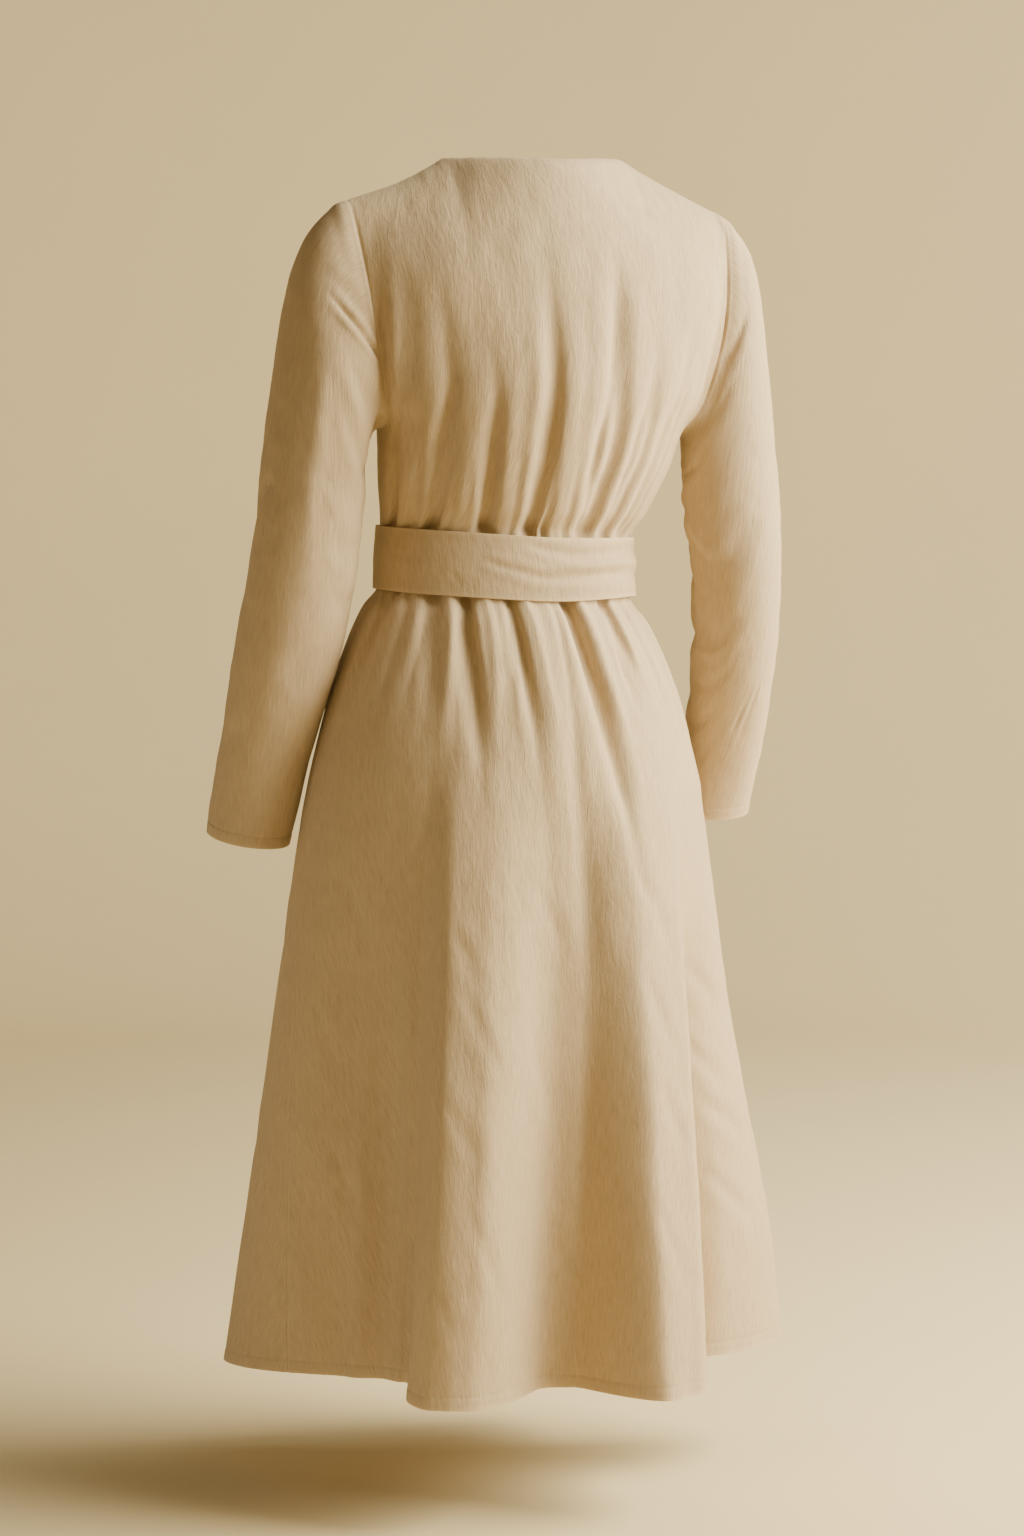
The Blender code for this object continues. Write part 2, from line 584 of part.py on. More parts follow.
def armhole_point(side, angle):
    """The armhole seam, round from the underarm (-90) over the back (0) and the shoulder (90) to the front."""
    if angle <= 90.0:
        share = mix(UNDERARM_SHARE, 1.0, (angle + 90.0) / 180.0)
        return bodice_point(BACK_ROWS, BACK_FOLDS, side, share)
    share = mix(1.0, UNDERARM_SHARE, (angle - 90.0) / 180.0)
    return bodice_point(FRONT_ROWS, FRONT_FOLDS, side, share)


def sleeve_ring(rows, side, angle, share):
    """A plain sleeve section: an ellipse between the cap side and the underarm side."""
    values = {column: read_table(rows, share, column) for column in SleeveRow._fields[1:]}
    outer = Vector((side * values["outer_x"], values["y_mid"], values["outer_z"]))
    inner = Vector((side * values["inner_x"], values["y_mid"], values["inner_z"]))
    pitch = math.radians(values["pitch"])
    depth = Vector((0.0, math.cos(pitch), -math.sin(pitch))) * values["half_depth"]
    turn = math.radians(angle)
    return (outer + inner) / 2.0 + (outer - inner) / 2.0 * math.sin(turn) + depth * math.cos(turn)


def sleeve_point(rows, side, angle, share):
    """A point of a sleeve, blended from the armhole seam to its own sections."""
    ring = sleeve_ring(rows, side, angle, share)
    if share >= CAP_BLEND_TO:
        return ring
    seam = armhole_point(side, angle)
    ring_start = sleeve_ring(rows, side, angle, 0.0)
    blend = smooth_step(share / CAP_BLEND_TO)
    return ring + (seam - ring_start) * (1.0 - blend)


def build_sleeve(name, rows, side, collection, material):
    """A set-in sleeve, open at the armhole and at the cuff."""
    count = 2 * ARMHOLE_ROWS
    angles = [-90.0 + 360.0 * k / count for k in range(count + 1)]

    def place(angle, share):
        point = sleeve_point(rows, side, angle, share)
        if share == 0.0:
            ahead = sleeve_point(rows, side, angle, SLEEVE_LEVELS[1])
            point += (ahead - point).normalized() * ARMHOLE_GAP
        return point

    mesh = sheet(name, angles, SLEEVE_LEVELS, place, flip=side > 0.0)
    close_tube(mesh)
    cloth_piece(name, mesh, collection, material)


def waist_out(angle):
    """The level way out of the waist ring."""
    turn = math.radians(angle)
    return Vector((math.cos(turn) / WAIST_HALF_WIDTH, math.sin(turn) / WAIST_HALF_DEPTH, 0.0)).normalized()


def belt_point(angle, share, outward):
    """A point of the belt, made from the waist ring, share 0 at its lower edge and 1 at its upper edge."""
    turn = math.radians(angle)
    point = Vector((WAIST_X + WAIST_HALF_WIDTH * math.cos(turn), WAIST_Y + WAIST_HALF_DEPTH * math.sin(turn), 0.0))
    point.z = WAIST_Z + waist_rise(point.x, point.y) + BELT_WIDTH * (share - 0.5)
    return point + waist_out(angle) * (outward + BELT_FLARE * (1.0 - share))


def knot_point(direction):
    """A point of the knot, a squared ball that stands on the belt."""
    out = waist_out(KNOT_ANGLE)
    along = Vector((out.y, -out.x, WAIST_TIP_SIDEWAYS * out.y - WAIST_TIP_BACK * out.x))
    seat = belt_point(KNOT_ANGLE, 0.5, BELT_CLEARANCE + BELT_WALL + SEAM_GAP + 0.5 * KNOT_DEPTH)
    squared = [math.copysign(abs(value) ** KNOT_SQUARENESS, value) for value in direction]
    lean = squared[2] * KNOT_HEIGHT * BELT_FLARE / BELT_WIDTH
    reach = along * squared[0] * KNOT_WIDTH + out * (squared[1] * KNOT_DEPTH - lean)
    return seat + (reach + Vector((0.0, 0.0, squared[2] * KNOT_HEIGHT))) * 0.5


def belt_end_point(end, across, along):
    """A point of a hanging end, made from the over skirt's points and moved out."""
    drop = mix(0.5 * KNOT_HEIGHT + KNOT_GAP, end.length, along)
    settled = smooth_step((drop - 0.5 * KNOT_HEIGHT) / BELT_END_SETTLE)
    width = mix(BELT_END_TOP_WIDTH, BELT_END_WIDTH, settled)
    per_degree = math.radians(1.0) * read_table(SKIRT_ROWS, drop, "half_width")
    middle = KNOT_ANGLE + end.swing * (drop / end.length) ** BELT_END_SWING_POWER
    angle = middle + 0.5 * width * across / per_degree
    gathered = skirt_gathers(angle, drop)
    seat = mix(BELT_CLEARANCE + BELT_WALL + 0.5 * KNOT_DEPTH, BELT_END_LYING, settled)
    return skirt_point(angle, drop, gathered - seat - end.layer)


def build_belt(collection, material):
    """The band round the waist, the knot at the front and the two hanging ends."""
    count = round(360.0 / BELT_STEP)
    angles = [360.0 * k / count for k in range(count + 1)]
    band = sheet("belt_band", angles, (0.0, 0.5, 1.0), lambda a, s: belt_point(a, s, BELT_CLEARANCE))
    close_tube(band)
    cloth_piece("belt_band", band, collection, material, wall=BELT_WALL, offset=1.0)

    mesh = bpy.data.meshes.new("belt_knot")
    bm = bmesh.new()
    bmesh.ops.create_uvsphere(bm, u_segments=KNOT_SEGMENTS, v_segments=KNOT_RINGS, radius=1.0)
    for vertex in bm.verts:
        vertex.co = knot_point(vertex.co)
    bm.to_mesh(mesh)
    bm.free()
    mesh.materials.append(material)
    mesh.shade_smooth()
    collection.objects.link(bpy.data.objects.new("belt_knot", mesh))

    across = [-1.0 + 2.0 * k / BELT_END_COLUMNS for k in range(BELT_END_COLUMNS + 1)]
    along = [k / BELT_END_ROWS for k in range(BELT_END_ROWS + 1)]
    for end in BELT_ENDS:
        strip = sheet(end.name, across, along, lambda a, s: belt_end_point(end, a, s), flip=True)
        cloth_piece(end.name, strip, collection, material, wall=BELT_WALL, offset=1.0)


def main():
    for leftover in list(bpy.data.objects):
        bpy.data.objects.remove(leftover, do_unlink=True)
    collection = bpy.data.collections.new(GARMENT)
    bpy.context.scene.collection.children.link(collection)
    cloth = new_material("dress cloth", CLOTH_COLOUR)
    belt = new_material("belt cloth", BELT_COLOUR)
    build_bodice(collection, cloth)
    build_skirt(collection, cloth)
    build_sleeve("sleeve_left", LEFT_SLEEVE_ROWS, 1.0, collection, cloth)
    build_sleeve("sleeve_right", RIGHT_SLEEVE_ROWS, -1.0, collection, cloth)
    build_belt(collection, belt)


main()
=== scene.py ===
"""Looks of a long-sleeved wrap dress in one plain napped cloth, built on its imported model.

The dress faces -Y, the wearer's left is +X, and the origin lies between the shoulders. Lengths are in metres and
angles in degrees. A ring's angle runs from the left side seam (0) over the back (90) and the right side seam (180)
to the front (270). The panels repeat the part's own sections and folds, on a finer grid, and add what a cutter
doesn't draw: seams, creases, crinkle, rolled edges, stitches and the cloth's own surface.
"""
import itertools
import math
from collections import namedtuple

import bpy
import numpy as np
from bpy.props import FloatProperty, FloatVectorProperty, PointerProperty
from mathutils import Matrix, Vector


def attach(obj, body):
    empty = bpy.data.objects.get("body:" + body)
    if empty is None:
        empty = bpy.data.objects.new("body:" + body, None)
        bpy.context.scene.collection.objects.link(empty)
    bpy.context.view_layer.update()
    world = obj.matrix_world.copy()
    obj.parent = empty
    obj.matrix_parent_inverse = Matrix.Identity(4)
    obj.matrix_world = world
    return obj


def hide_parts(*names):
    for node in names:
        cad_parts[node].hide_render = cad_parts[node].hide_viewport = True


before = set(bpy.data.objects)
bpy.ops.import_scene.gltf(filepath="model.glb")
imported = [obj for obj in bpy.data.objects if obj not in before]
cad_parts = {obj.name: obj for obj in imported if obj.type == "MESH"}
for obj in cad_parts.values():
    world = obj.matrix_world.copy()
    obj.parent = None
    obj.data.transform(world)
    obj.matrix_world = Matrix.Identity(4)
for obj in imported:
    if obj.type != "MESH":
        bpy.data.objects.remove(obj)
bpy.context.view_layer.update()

bl_info = {
    "name": "Wrap dress",
    "version": (1, 0, 0),
    "blender": (4, 5, 0),
    "location": "3D View > Sidebar > Dress",
    "description": "Builds a long-sleeved wrap dress, its cloth and its studio stage",
    "category": "Object",
}

BODY = "root"

# Waist seam: an ellipse on a plane that tips to the wearer's right and to the back
WAIST_X = 0.010
WAIST_Y = -0.022
WAIST_Z = -0.379
WAIST_HALF_WIDTH = 0.129
WAIST_HALF_DEPTH = 0.098
WAIST_TIP_SIDEWAYS = 0.050
WAIST_TIP_BACK = -0.055
WAIST_TIP_FADES_BY = 0.40

# Bodice heights
UNDERARM_SHARE = 0.36
UNDERARM_SIDE_Z = -0.247
UNDERARM_MID_Z = -0.236
SHOULDER_TIP_Z = -0.027
SHOULDER_TIP_Y = 0.020

# Neck and wrap edges
NECK_SHARE = 0.44
NECK_SIDE_Y = 0.010
NECK_SIDE_Z = 0.024
BACK_NECK_Y = 0.060
BACK_NECK_Z = 0.022
FRONT_NECK_Y = -0.040
FRONT_NECK_Z = -0.030
NECK_BLEND_FROM = 0.70
SHOULDER_SAG = 0.003
NECK_SETTLE = 0.005
NECK_SETTLE_FADE = 0.4
WRAP_EDGE_AT_WAIST = 0.58
UNDERLAP = 0.0032
UNDERLAP_SHARE = 0.30
UNDERLAP_FADES_FROM = 0.70
UNDERLAP_ANGLE = 40.0

# Skirt
SKIRT_LENGTH = 0.802
HEM_Z = -1.181
FLUTES_FROM = 0.15
FLUTE_GROWTH = 1.15
OVER_EDGE_ANGLE = 320.0
UNDER_EDGE_ANGLE = 220.0

# Belt
BELT_WIDTH = 0.063
BELT_WALL = 0.0025
BELT_CLEARANCE = 0.0010
BELT_FLARE = 0.0030
KNOT_ANGLE = 286.0
KNOT_WIDTH = 0.048
KNOT_DEPTH = 0.026
KNOT_HEIGHT = 0.066
KNOT_SQUARENESS = 0.62
KNOT_GAP = 0.0019
BELT_END_WIDTH = 0.058
BELT_END_TOP_WIDTH = 0.026
BELT_END_SETTLE = 0.110
BELT_END_LYING = 0.0016
BELT_END_SWING_POWER = 1.2
BELT_ROLL = 0.0009
BELT_DEEPEST = -0.0016
BELT_GRID = 0.0026
BELT_END_GRID = 0.0034
END_PLEAT = 0.0022
END_PLEATS_TO = 0.62
CRUMPLE_ANGLE = 152.0
CRUMPLE_REACH = 66.0
CRUMPLE_LOWER_EDGE = 0.0075
CRUMPLE_UPPER_EDGE = 0.0035

# Knot: a band of pleats over the belt's gathered sides, with a groove beside it
KNOT_STANDS_OFF = 0.0003
KNOT_SLANT = 0.16
KNOT_BAND = 0.52
KNOT_BAND_FADE = 0.16
KNOT_BAND_SINK = 0.0006
KNOT_SIDES_SINK = 0.0042
KNOT_PLEAT = 0.0016
KNOT_GATHER = 0.0014
KNOT_GROOVE = 0.0016
KNOT_GROOVE_AT = 0.60
KNOT_GROOVE_REACH = 0.10
KNOT_PINCH = 0.0022


def table(row_type, *rows):
    """A table whose columns have names, from plain rows."""
    return tuple(row_type(*row) for row in rows)


BodiceRow = namedtuple("BodiceRow", "share x_mid half_width y_side y_mid span")
BACK_ROWS = table(
    BodiceRow,
    (0, WAIST_X, WAIST_HALF_WIDTH, WAIST_Y, WAIST_Y + WAIST_HALF_DEPTH, 90),
    (0.09, 0.01, 0.1295, -0.021, 0.0765, 90),
    (0.14, 0.007, 0.136, -0.01, 0.09, 90),
    (0.2, 0.004, 0.143, 0, 0.101, 90),
    (0.28, -0.002, 0.151, 0.006, 0.112, 90),
    (0.36, -0.005, 0.156, 0.012, 0.118, 88),
    (0.44, -0.007, 0.16, 0.032, 0.121, 80),
    (0.52, -0.01, 0.168, 0.045, 0.12, 72),
    (0.68, -0.012, 0.184, 0.054, 0.111, 62),
    (0.84, -0.009, 0.193, 0.042, 0.086, 52),
    (1, -0.007, 0.195, SHOULDER_TIP_Y, BACK_NECK_Y, 42),
)
FRONT_ROWS = table(
    BodiceRow,
    (0, WAIST_X, WAIST_HALF_WIDTH, WAIST_Y, WAIST_Y - WAIST_HALF_DEPTH, 90),
    (0.09, 0.01, 0.1295, -0.021, -0.12, 90),
    (0.14, 0.007, 0.136, -0.01, -0.122, 90),
    (0.2, 0.004, 0.143, 0, -0.125, 90),
    (0.28, -0.002, 0.151, 0.006, -0.129, 90),
    (0.36, -0.005, 0.156, 0.012, -0.133, 88),
    (0.44, -0.007, 0.157, -0.006, -0.134, 82),
    (0.52, -0.01, 0.16, -0.018, -0.131, 76),
    (0.68, -0.012, 0.17, -0.024, -0.108, 66),
    (0.84, -0.009, 0.185, -0.006, -0.07, 56),
    (1, -0.007, 0.195, SHOULDER_TIP_Y, FRONT_NECK_Y, 42),
)

# Gathers of the bodice: a trough's place across at the waist and at its top, and how high it reaches
BodiceFold = namedtuple("BodiceFold", "across_low across_high half_width depth reach")
BACK_FOLDS = table(
    BodiceFold,
    (0.87, 0.86, 0.06, 0.005, 0.42),
    (0.57, 0.56, 0.07, 0.008, 0.6),
    (0.25, 0.36, 0.07, 0.009, 0.54),
    (0.05, 0.12, 0.07, 0.0095, 0.76),
    (-0.03, -0.01, 0.04, 0.005, 0.24),
    (-0.26, -0.24, 0.07, 0.0095, 0.74),
    (-0.4, -0.46, 0.05, 0.006, 0.6),
    (-0.57, -0.72, 0.05, 0.007, 0.62),
)
FRONT_FOLDS = table(
    BodiceFold,
    (0.72, 0.76, 0.11, 0.005, 0.4),
    (0.44, 0.5, 0.12, 0.007, 0.52),
    (0.12, 0.18, 0.12, 0.006, 0.46),
    (-0.2, -0.24, 0.12, 0.007, 0.48),
    (-0.48, -0.5, 0.12, 0.005, 0.54),
    (-0.78, -0.8, 0.1, 0.005, 0.4),
)
BODICE_FOLD_FROM = 0.05
BODICE_FOLD_FULL = 0.10
BODICE_FOLD_FADES_FROM = 0.35
BodiceSide = namedtuple("BodiceSide", "rows folds neck_y neck_z facing")
BACK = BodiceSide(BACK_ROWS, BACK_FOLDS, BACK_NECK_Y, BACK_NECK_Z, 1.0)
FRONT = BodiceSide(FRONT_ROWS, FRONT_FOLDS, FRONT_NECK_Y, FRONT_NECK_Z, -1.0)

# Skirt sections, by the drop below the waist seam
SkirtRow = namedtuple("SkirtRow", "drop half_width half_depth")
SKIRT_ROWS = table(
    SkirtRow,
    (0, WAIST_HALF_WIDTH, WAIST_HALF_DEPTH),
    (0.03, 0.131, 0.1),
    (0.05, 0.146, 0.113),
    (0.085, 0.163, 0.126),
    (0.135, 0.181, 0.139),
    (0.225, 0.201, 0.153),
    (0.345, 0.215, 0.167),
    (0.525, 0.231, 0.188),
    (0.802, 0.258, 0.212),
)

# Gathers of the skirt: a trough's angle under the belt and at its low end, and the drop where it ends
SkirtFold = namedtuple("SkirtFold", "angle_top angle_low half_width depth end_drop")
SKIRT_FOLDS = table(
    SkirtFold,
    (17, 17, 8, 0.007, 0.2),
    (40, 53, 6, 0.006, 0.17),
    (55, 71, 6, 0.0095, 0.22),
    (75, 87, 5, 0.007, 0.2),
    (102, 114, 7.5, 0.012, 0.28),
    (125, 122, 6, 0.01, 0.15),
    (161, 157, 6, 0.006, 0.17),
    (200, 203, 7, 0.008, 0.18),
    (226, 223, 7, 0.009, 0.2),
    (248, 247, 6, 0.007, 0.15),
    (268, 266, 7, 0.009, 0.18),
    (290, 292, 7, 0.01, 0.21),
    (312, 316, 7, 0.01, 0.19),
    (338, 336, 7, 0.008, 0.18),
)
SKIRT_FOLD_FROM = 0.012
SKIRT_FOLD_FULL = 0.0315
SKIRT_FOLD_FADES_FROM = 0.25

# Flutes of the skirt: a crest or a valley, its angle at the hips and at the hem, and its reach at the hem
Flute = namedtuple("Flute", "angle_hip angle_hem reach start full", defaults=(FLUTES_FROM, SKIRT_LENGTH))
FLUTES = table(
    Flute,
    (32, 17, -0.072),
    (43, 28.5, -0.081),
    (53, 39.5, -0.07),
    (62, 59, 0.028),
    (71, 65.5, 0.028),
    (91.5, 86.5, -0.055),
    (99, 93.5, -0.05),
    (114, 105.5, 0.042),
    (129, 113.5, 0.036),
    (145, 134.5, -0.05, 0.22, 0.46),
    (158, 145, -0.052, 0.22, 0.46),
    (192, 188.5, 0.06, 0.05, 0.7),
    (214, 214, -0.034),
    (238, 238, 0.034),
    (263, 263, -0.036),
    (290, 289, 0.034),
    (315, 314, -0.04),
    (344.5, 338.5, 0.034),
)

# Sleeve sections from the armhole to the cuff: the cap side, the underarm side, and the ring's front-back half
SleeveRow = namedtuple("SleeveRow", "share outer_x outer_z inner_x inner_z y_mid half_depth pitch")
LEFT_SLEEVE_ROWS = table(
    SleeveRow,
    (0, 0.189, -0.027, 0.153, -0.247, 0.014, 0.042, 0),
    (0.05, 0.21, -0.04, 0.156, -0.247, 0.013, 0.046, 0),
    (0.11, 0.228, -0.062, 0.159, -0.25, 0.012, 0.049, 0),
    (0.18, 0.243, -0.1, 0.162, -0.256, 0.01, 0.052, 0),
    (0.27, 0.252, -0.155, 0.165, -0.272, 0.008, 0.053, 0),
    (0.4, 0.264, -0.24, 0.168, -0.31, 0.003, 0.052, 2),
    (0.58, 0.276, -0.365, 0.173, -0.385, -0.006, 0.049, 5),
    (0.72, 0.288, -0.465, 0.183, -0.47, -0.028, 0.048, 12),
    (0.86, 0.294, -0.562, 0.203, -0.566, -0.064, 0.044, 14),
    (1, 0.3, -0.648, 0.217, -0.656, -0.092, 0.041, 13),
)
RIGHT_SLEEVE_ROWS = table(
    SleeveRow,
    (0, 0.202, -0.027, 0.163, -0.247, 0.014, 0.042, 0),
    (0.05, 0.219, -0.04, 0.166, -0.247, 0.013, 0.046, 0),
    (0.11, 0.235, -0.062, 0.169, -0.25, 0.012, 0.049, 0),
    (0.18, 0.247, -0.1, 0.171, -0.256, 0.01, 0.052, 0),
    (0.27, 0.256, -0.155, 0.172, -0.272, 0.008, 0.054, 0),
    (0.4, 0.267, -0.24, 0.174, -0.31, 0.003, 0.053, 2),
    (0.58, 0.279, -0.365, 0.185, -0.375, -0.004, 0.052, 5),
    (0.72, 0.285, -0.46, 0.199, -0.464, -0.026, 0.049, 12),
    (0.86, 0.285, -0.556, 0.204, -0.56, -0.06, 0.045, 14),
    (1, 0.281, -0.632, 0.201, -0.636, -0.088, 0.042, 13),
)
CAP_BLEND_TO = 0.24

BeltEnd = namedtuple("BeltEnd", "name node length swing layer")
BELT_ENDS = table(
    BeltEnd,
    ("under_belt_end", "belt_end_under", 0.3, 9, 0),
    ("over_belt_end", "belt_end_over", 0.34, -8, BELT_WALL + 0.002),
)

# Creases: both ends across and along the panel, half width, depth (a ridge where it is negative) and how far the line
# bows to one side
Crease = namedtuple("Crease", "across_from along_from across_to along_to width depth bow")
BACK_CREASES = table(
    Crease,
    (0.61, -0.06, 0.61, 0.74, 0.013, 0.0034, -0.003),
    (0.295, -0.06, 0.385, 0.64, 0.01, 0.003, 0),
    (0.035, -0.06, 0.125, 0.74, 0.0125, 0.0042, -0.004),
    (0.12, -0.05, 0.2, 0.38, 0.006, 0.0014, 0),
    (-0.045, -0.05, 0.02, 0.32, 0.005, 0.0016, 0),
    (-0.155, 0.16, -0.225, 0.78, 0.0135, 0.0048, -0.003),
    (-0.28, -0.06, -0.16, 0.42, 0.008, 0.003, 0.003),
    (-0.155, -0.05, -0.08, 0.36, 0.005, 0.0014, 0),
    (-0.375, -0.06, -0.43, 0.66, 0.01, 0.003, -0.004),
    (-0.535, -0.06, -0.68, 0.7, 0.011, 0.0032, -0.002),
    (-0.74, -0.05, -0.84, 0.5, 0.012, 0.0014, -0.001),
    (0.46, -0.05, 0.47, 0.32, 0.006, 0.0012, 0.001),
    (0.735, -0.05, 0.77, 0.46, 0.011, 0.0022, -0.001),
    (0.93, -0.04, 0.97, 0.48, 0.012, 0.003, 0),
    (0.925, 0.34, 0.95, 0.74, 0.009, 0.0042, -0.002),
    (0.84, 0.36, 0.865, 0.8, 0.013, -0.0018, -0.003),
    (-0.9, 0.44, -0.955, 0.8, 0.01, 0.0026, 0.003),
    (-0.84, 0.42, -0.88, 0.7, 0.01, 0.002, -0.002),
)
FRONT_CREASES = table(
    Crease,
    (0.6, 0.04, 0.64, 0.28, 0.0055, 0.0018, 0.001),
    (0.3, 0.04, 0.34, 0.3, 0.005, 0.0018, 0.001),
    (0.02, 0.04, 0.03, 0.26, 0.005, 0.0016, 0),
    (-0.1, 0.04, -0.12, 0.32, 0.005, 0.0018, 0.001),
    (-0.34, 0.04, -0.38, 0.28, 0.0055, 0.0018, -0.001),
    (-0.64, 0.04, -0.66, 0.3, 0.005, 0.0018, 0.001),
    (-0.93, 0.6, -0.62, 0.46, 0.011, 0.0028, 0.003),
    (-0.94, 0.46, -0.7, 0.34, 0.01, 0.0022, 0.002),
    (0.93, 0.6, 0.66, 0.48, 0.011, 0.0028, -0.003),
    (0.94, 0.46, 0.74, 0.33, 0.01, 0.002, -0.002),
    (-0.6, 0.86, -0.34, 0.62, 0.013, 0.0018, 0.003),
    (-0.4, 0.7, 0.08, 0.34, 0.012, 0.002, 0.004),
    (-0.2, 0.5, 0.26, 0.2, 0.01, 0.0018, 0.003),
    (0.6, 0.86, 0.36, 0.64, 0.013, 0.0018, -0.003),
    (0.42, 0.72, 0.14, 0.5, 0.012, 0.0018, -0.003),
)
BACK_SKIRT_CREASES = table(
    Crease,
    (51, -0.02, 67, 0.17, 0.0042, 0.0018, 0.004),
    (72, -0.02, 84, 0.13, 0.004, 0.0014, 0.003),
    (100, -0.02, 111, 0.18, 0.0044, 0.002, 0.005),
    (9, -0.02, 10, 0.17, 0.0075, 0.0016, 0),
    (26, -0.02, 29, 0.19, 0.008, 0.0018, 0.001),
    (36, -0.02, 41, 0.16, 0.0065, 0.0016, 0),
    (50, -0.02, 69, 0.27, 0.009, 0.0024, 0.004),
    (44, -0.02, 56, 0.21, 0.0115, -0.0026, 0.003),
    (63, -0.02, 73, 0.19, 0.0085, -0.002, 0.002),
    (71, -0.02, 86, 0.24, 0.0075, 0.0028, 0.003),
    (77, 0.04, 80, 0.15, 0.0045, -0.0014, 0),
    (80, -0.02, 92, 0.22, 0.0095, -0.0022, 0.002),
    (95, -0.02, 99, 0.27, 0.0075, 0.0016, -0.002),
    (99, -0.02, 113, 0.36, 0.011, 0.0046, 0.006),
    (107, -0.02, 117, 0.2, 0.0095, -0.0024, 0.002),
    (123, -0.02, 124, 0.15, 0.0055, 0.0032, -0.002),
    (118, -0.01, 119, 0.1, 0.004, 0.0012, 0),
    (131, -0.01, 132, 0.14, 0.007, -0.0018, 0),
    (140, -0.01, 141, 0.16, 0.007, 0.002, 0),
    (150, -0.01, 149, 0.14, 0.006, 0.0016, 0),
    (161, 0, 154, 0.24, 0.008, -0.0026, 0.003),
    (169, 0, 163, 0.24, 0.009, 0.0044, 0.003),
    (94, 0.14, 99, 0.42, 0.016, 0.003, 0.004),
    (58, 1.05, 61, 0.24, 0.026, -0.0024, 0),
    (27, 1.05, 32, 0.2, 0.076, 0.013, 0),
    (88, 1.05, 90, 0.22, 0.05, 0.005, 0),
    (156, 1.05, 160, 0.28, 0.06, 0.023, 0),
    (60, 0.34, 68, 0.42, 0.01, 0.0008, 0.003),
    (63, 0.4, 76, 0.52, 0.01, 0.0009, -0.002),
    (58, 0.5, 70, 0.59, 0.012, 0.0009, 0.002),
    (64, 0.6, 75, 0.73, 0.011, 0.0009, -0.003),
    (56, 0.66, 66, 0.77, 0.011, 0.0008, 0.002),
    (82, 0.3, 94, 0.4, 0.012, 0.0009, 0.003),
    (80, 0.44, 93, 0.56, 0.012, 0.0008, -0.003),
    (84, 0.62, 94, 0.72, 0.012, 0.0007, 0.003),
    (112, 0.3, 122, 0.39, 0.011, 0.0011, 0.003),
    (109, 0.38, 120, 0.5, 0.011, 0.001, -0.003),
    (110, 0.5, 119, 0.59, 0.012, 0.0011, 0.003),
    (106, 0.6, 116, 0.72, 0.011, 0.001, -0.002),
    (126, 0.34, 138, 0.44, 0.012, 0.001, 0.003),
    (124, 0.5, 136, 0.62, 0.012, 0.001, -0.002),
    (162, 0.4, 176, 0.47, 0.011, 0.0017, 0.003),
    (160, 0.47, 174, 0.54, 0.01, 0.0017, -0.003),
    (162, 0.54, 178, 0.6, 0.011, 0.0018, 0.003),
    (160, 0.61, 174, 0.69, 0.01, 0.0016, 0.002),
    (20, 0.3, 30, 0.4, 0.013, 0.0014, 0.003),
    (8, 0.42, 18, 0.52, 0.013, 0.0014, -0.003),
    (12, 0.56, 22, 0.66, 0.013, 0.0014, 0.003),
)
FRONT_SKIRT_CREASES = table(
    Crease,
    (190, 0.014, 191, 0.12, 0.0045, 0.002, 0),
    (210, 0.014, 211, 0.11, 0.0045, 0.0018, 0),
    (218, 0.014, 217, 0.09, 0.004, 0.0014, 0),
    (236, 0.014, 235, 0.13, 0.0045, 0.002, 0.001),
    (257, 0.014, 256, 0.11, 0.0045, 0.0018, 0),
    (279, 0.014, 280, 0.13, 0.0045, 0.0022, 0),
    (284, 0.014, 286, 0.09, 0.0035, 0.0014, 0),
    (299, 0.014, 302, 0.13, 0.0045, 0.002, 0),
    (306, 0.014, 309, 0.09, 0.004, 0.0014, 0),
    (326, 0.014, 327, 0.12, 0.0045, 0.0018, 0),
    (350, 0.014, 350, 0.11, 0.0045, 0.0018, 0),
    (184, 0.4, 196, 0.49, 0.01, 0.0018, 0.003),
    (186, 0.52, 198, 0.6, 0.01, 0.0016, -0.003),
    (230, 0.3, 242, 0.4, 0.012, 0.0014, 0.003),
    (232, 0.48, 244, 0.57, 0.011, 0.0014, -0.003),
    (282, 0.36, 295, 0.44, 0.012, 0.0014, 0.003),
    (284, 0.52, 296, 0.62, 0.011, 0.0014, -0.003),
    (336, 0.32, 348, 0.42, 0.012, 0.0014, 0.003),
    (334, 0.5, 345, 0.6, 0.011, 0.0014, -0.003),
)
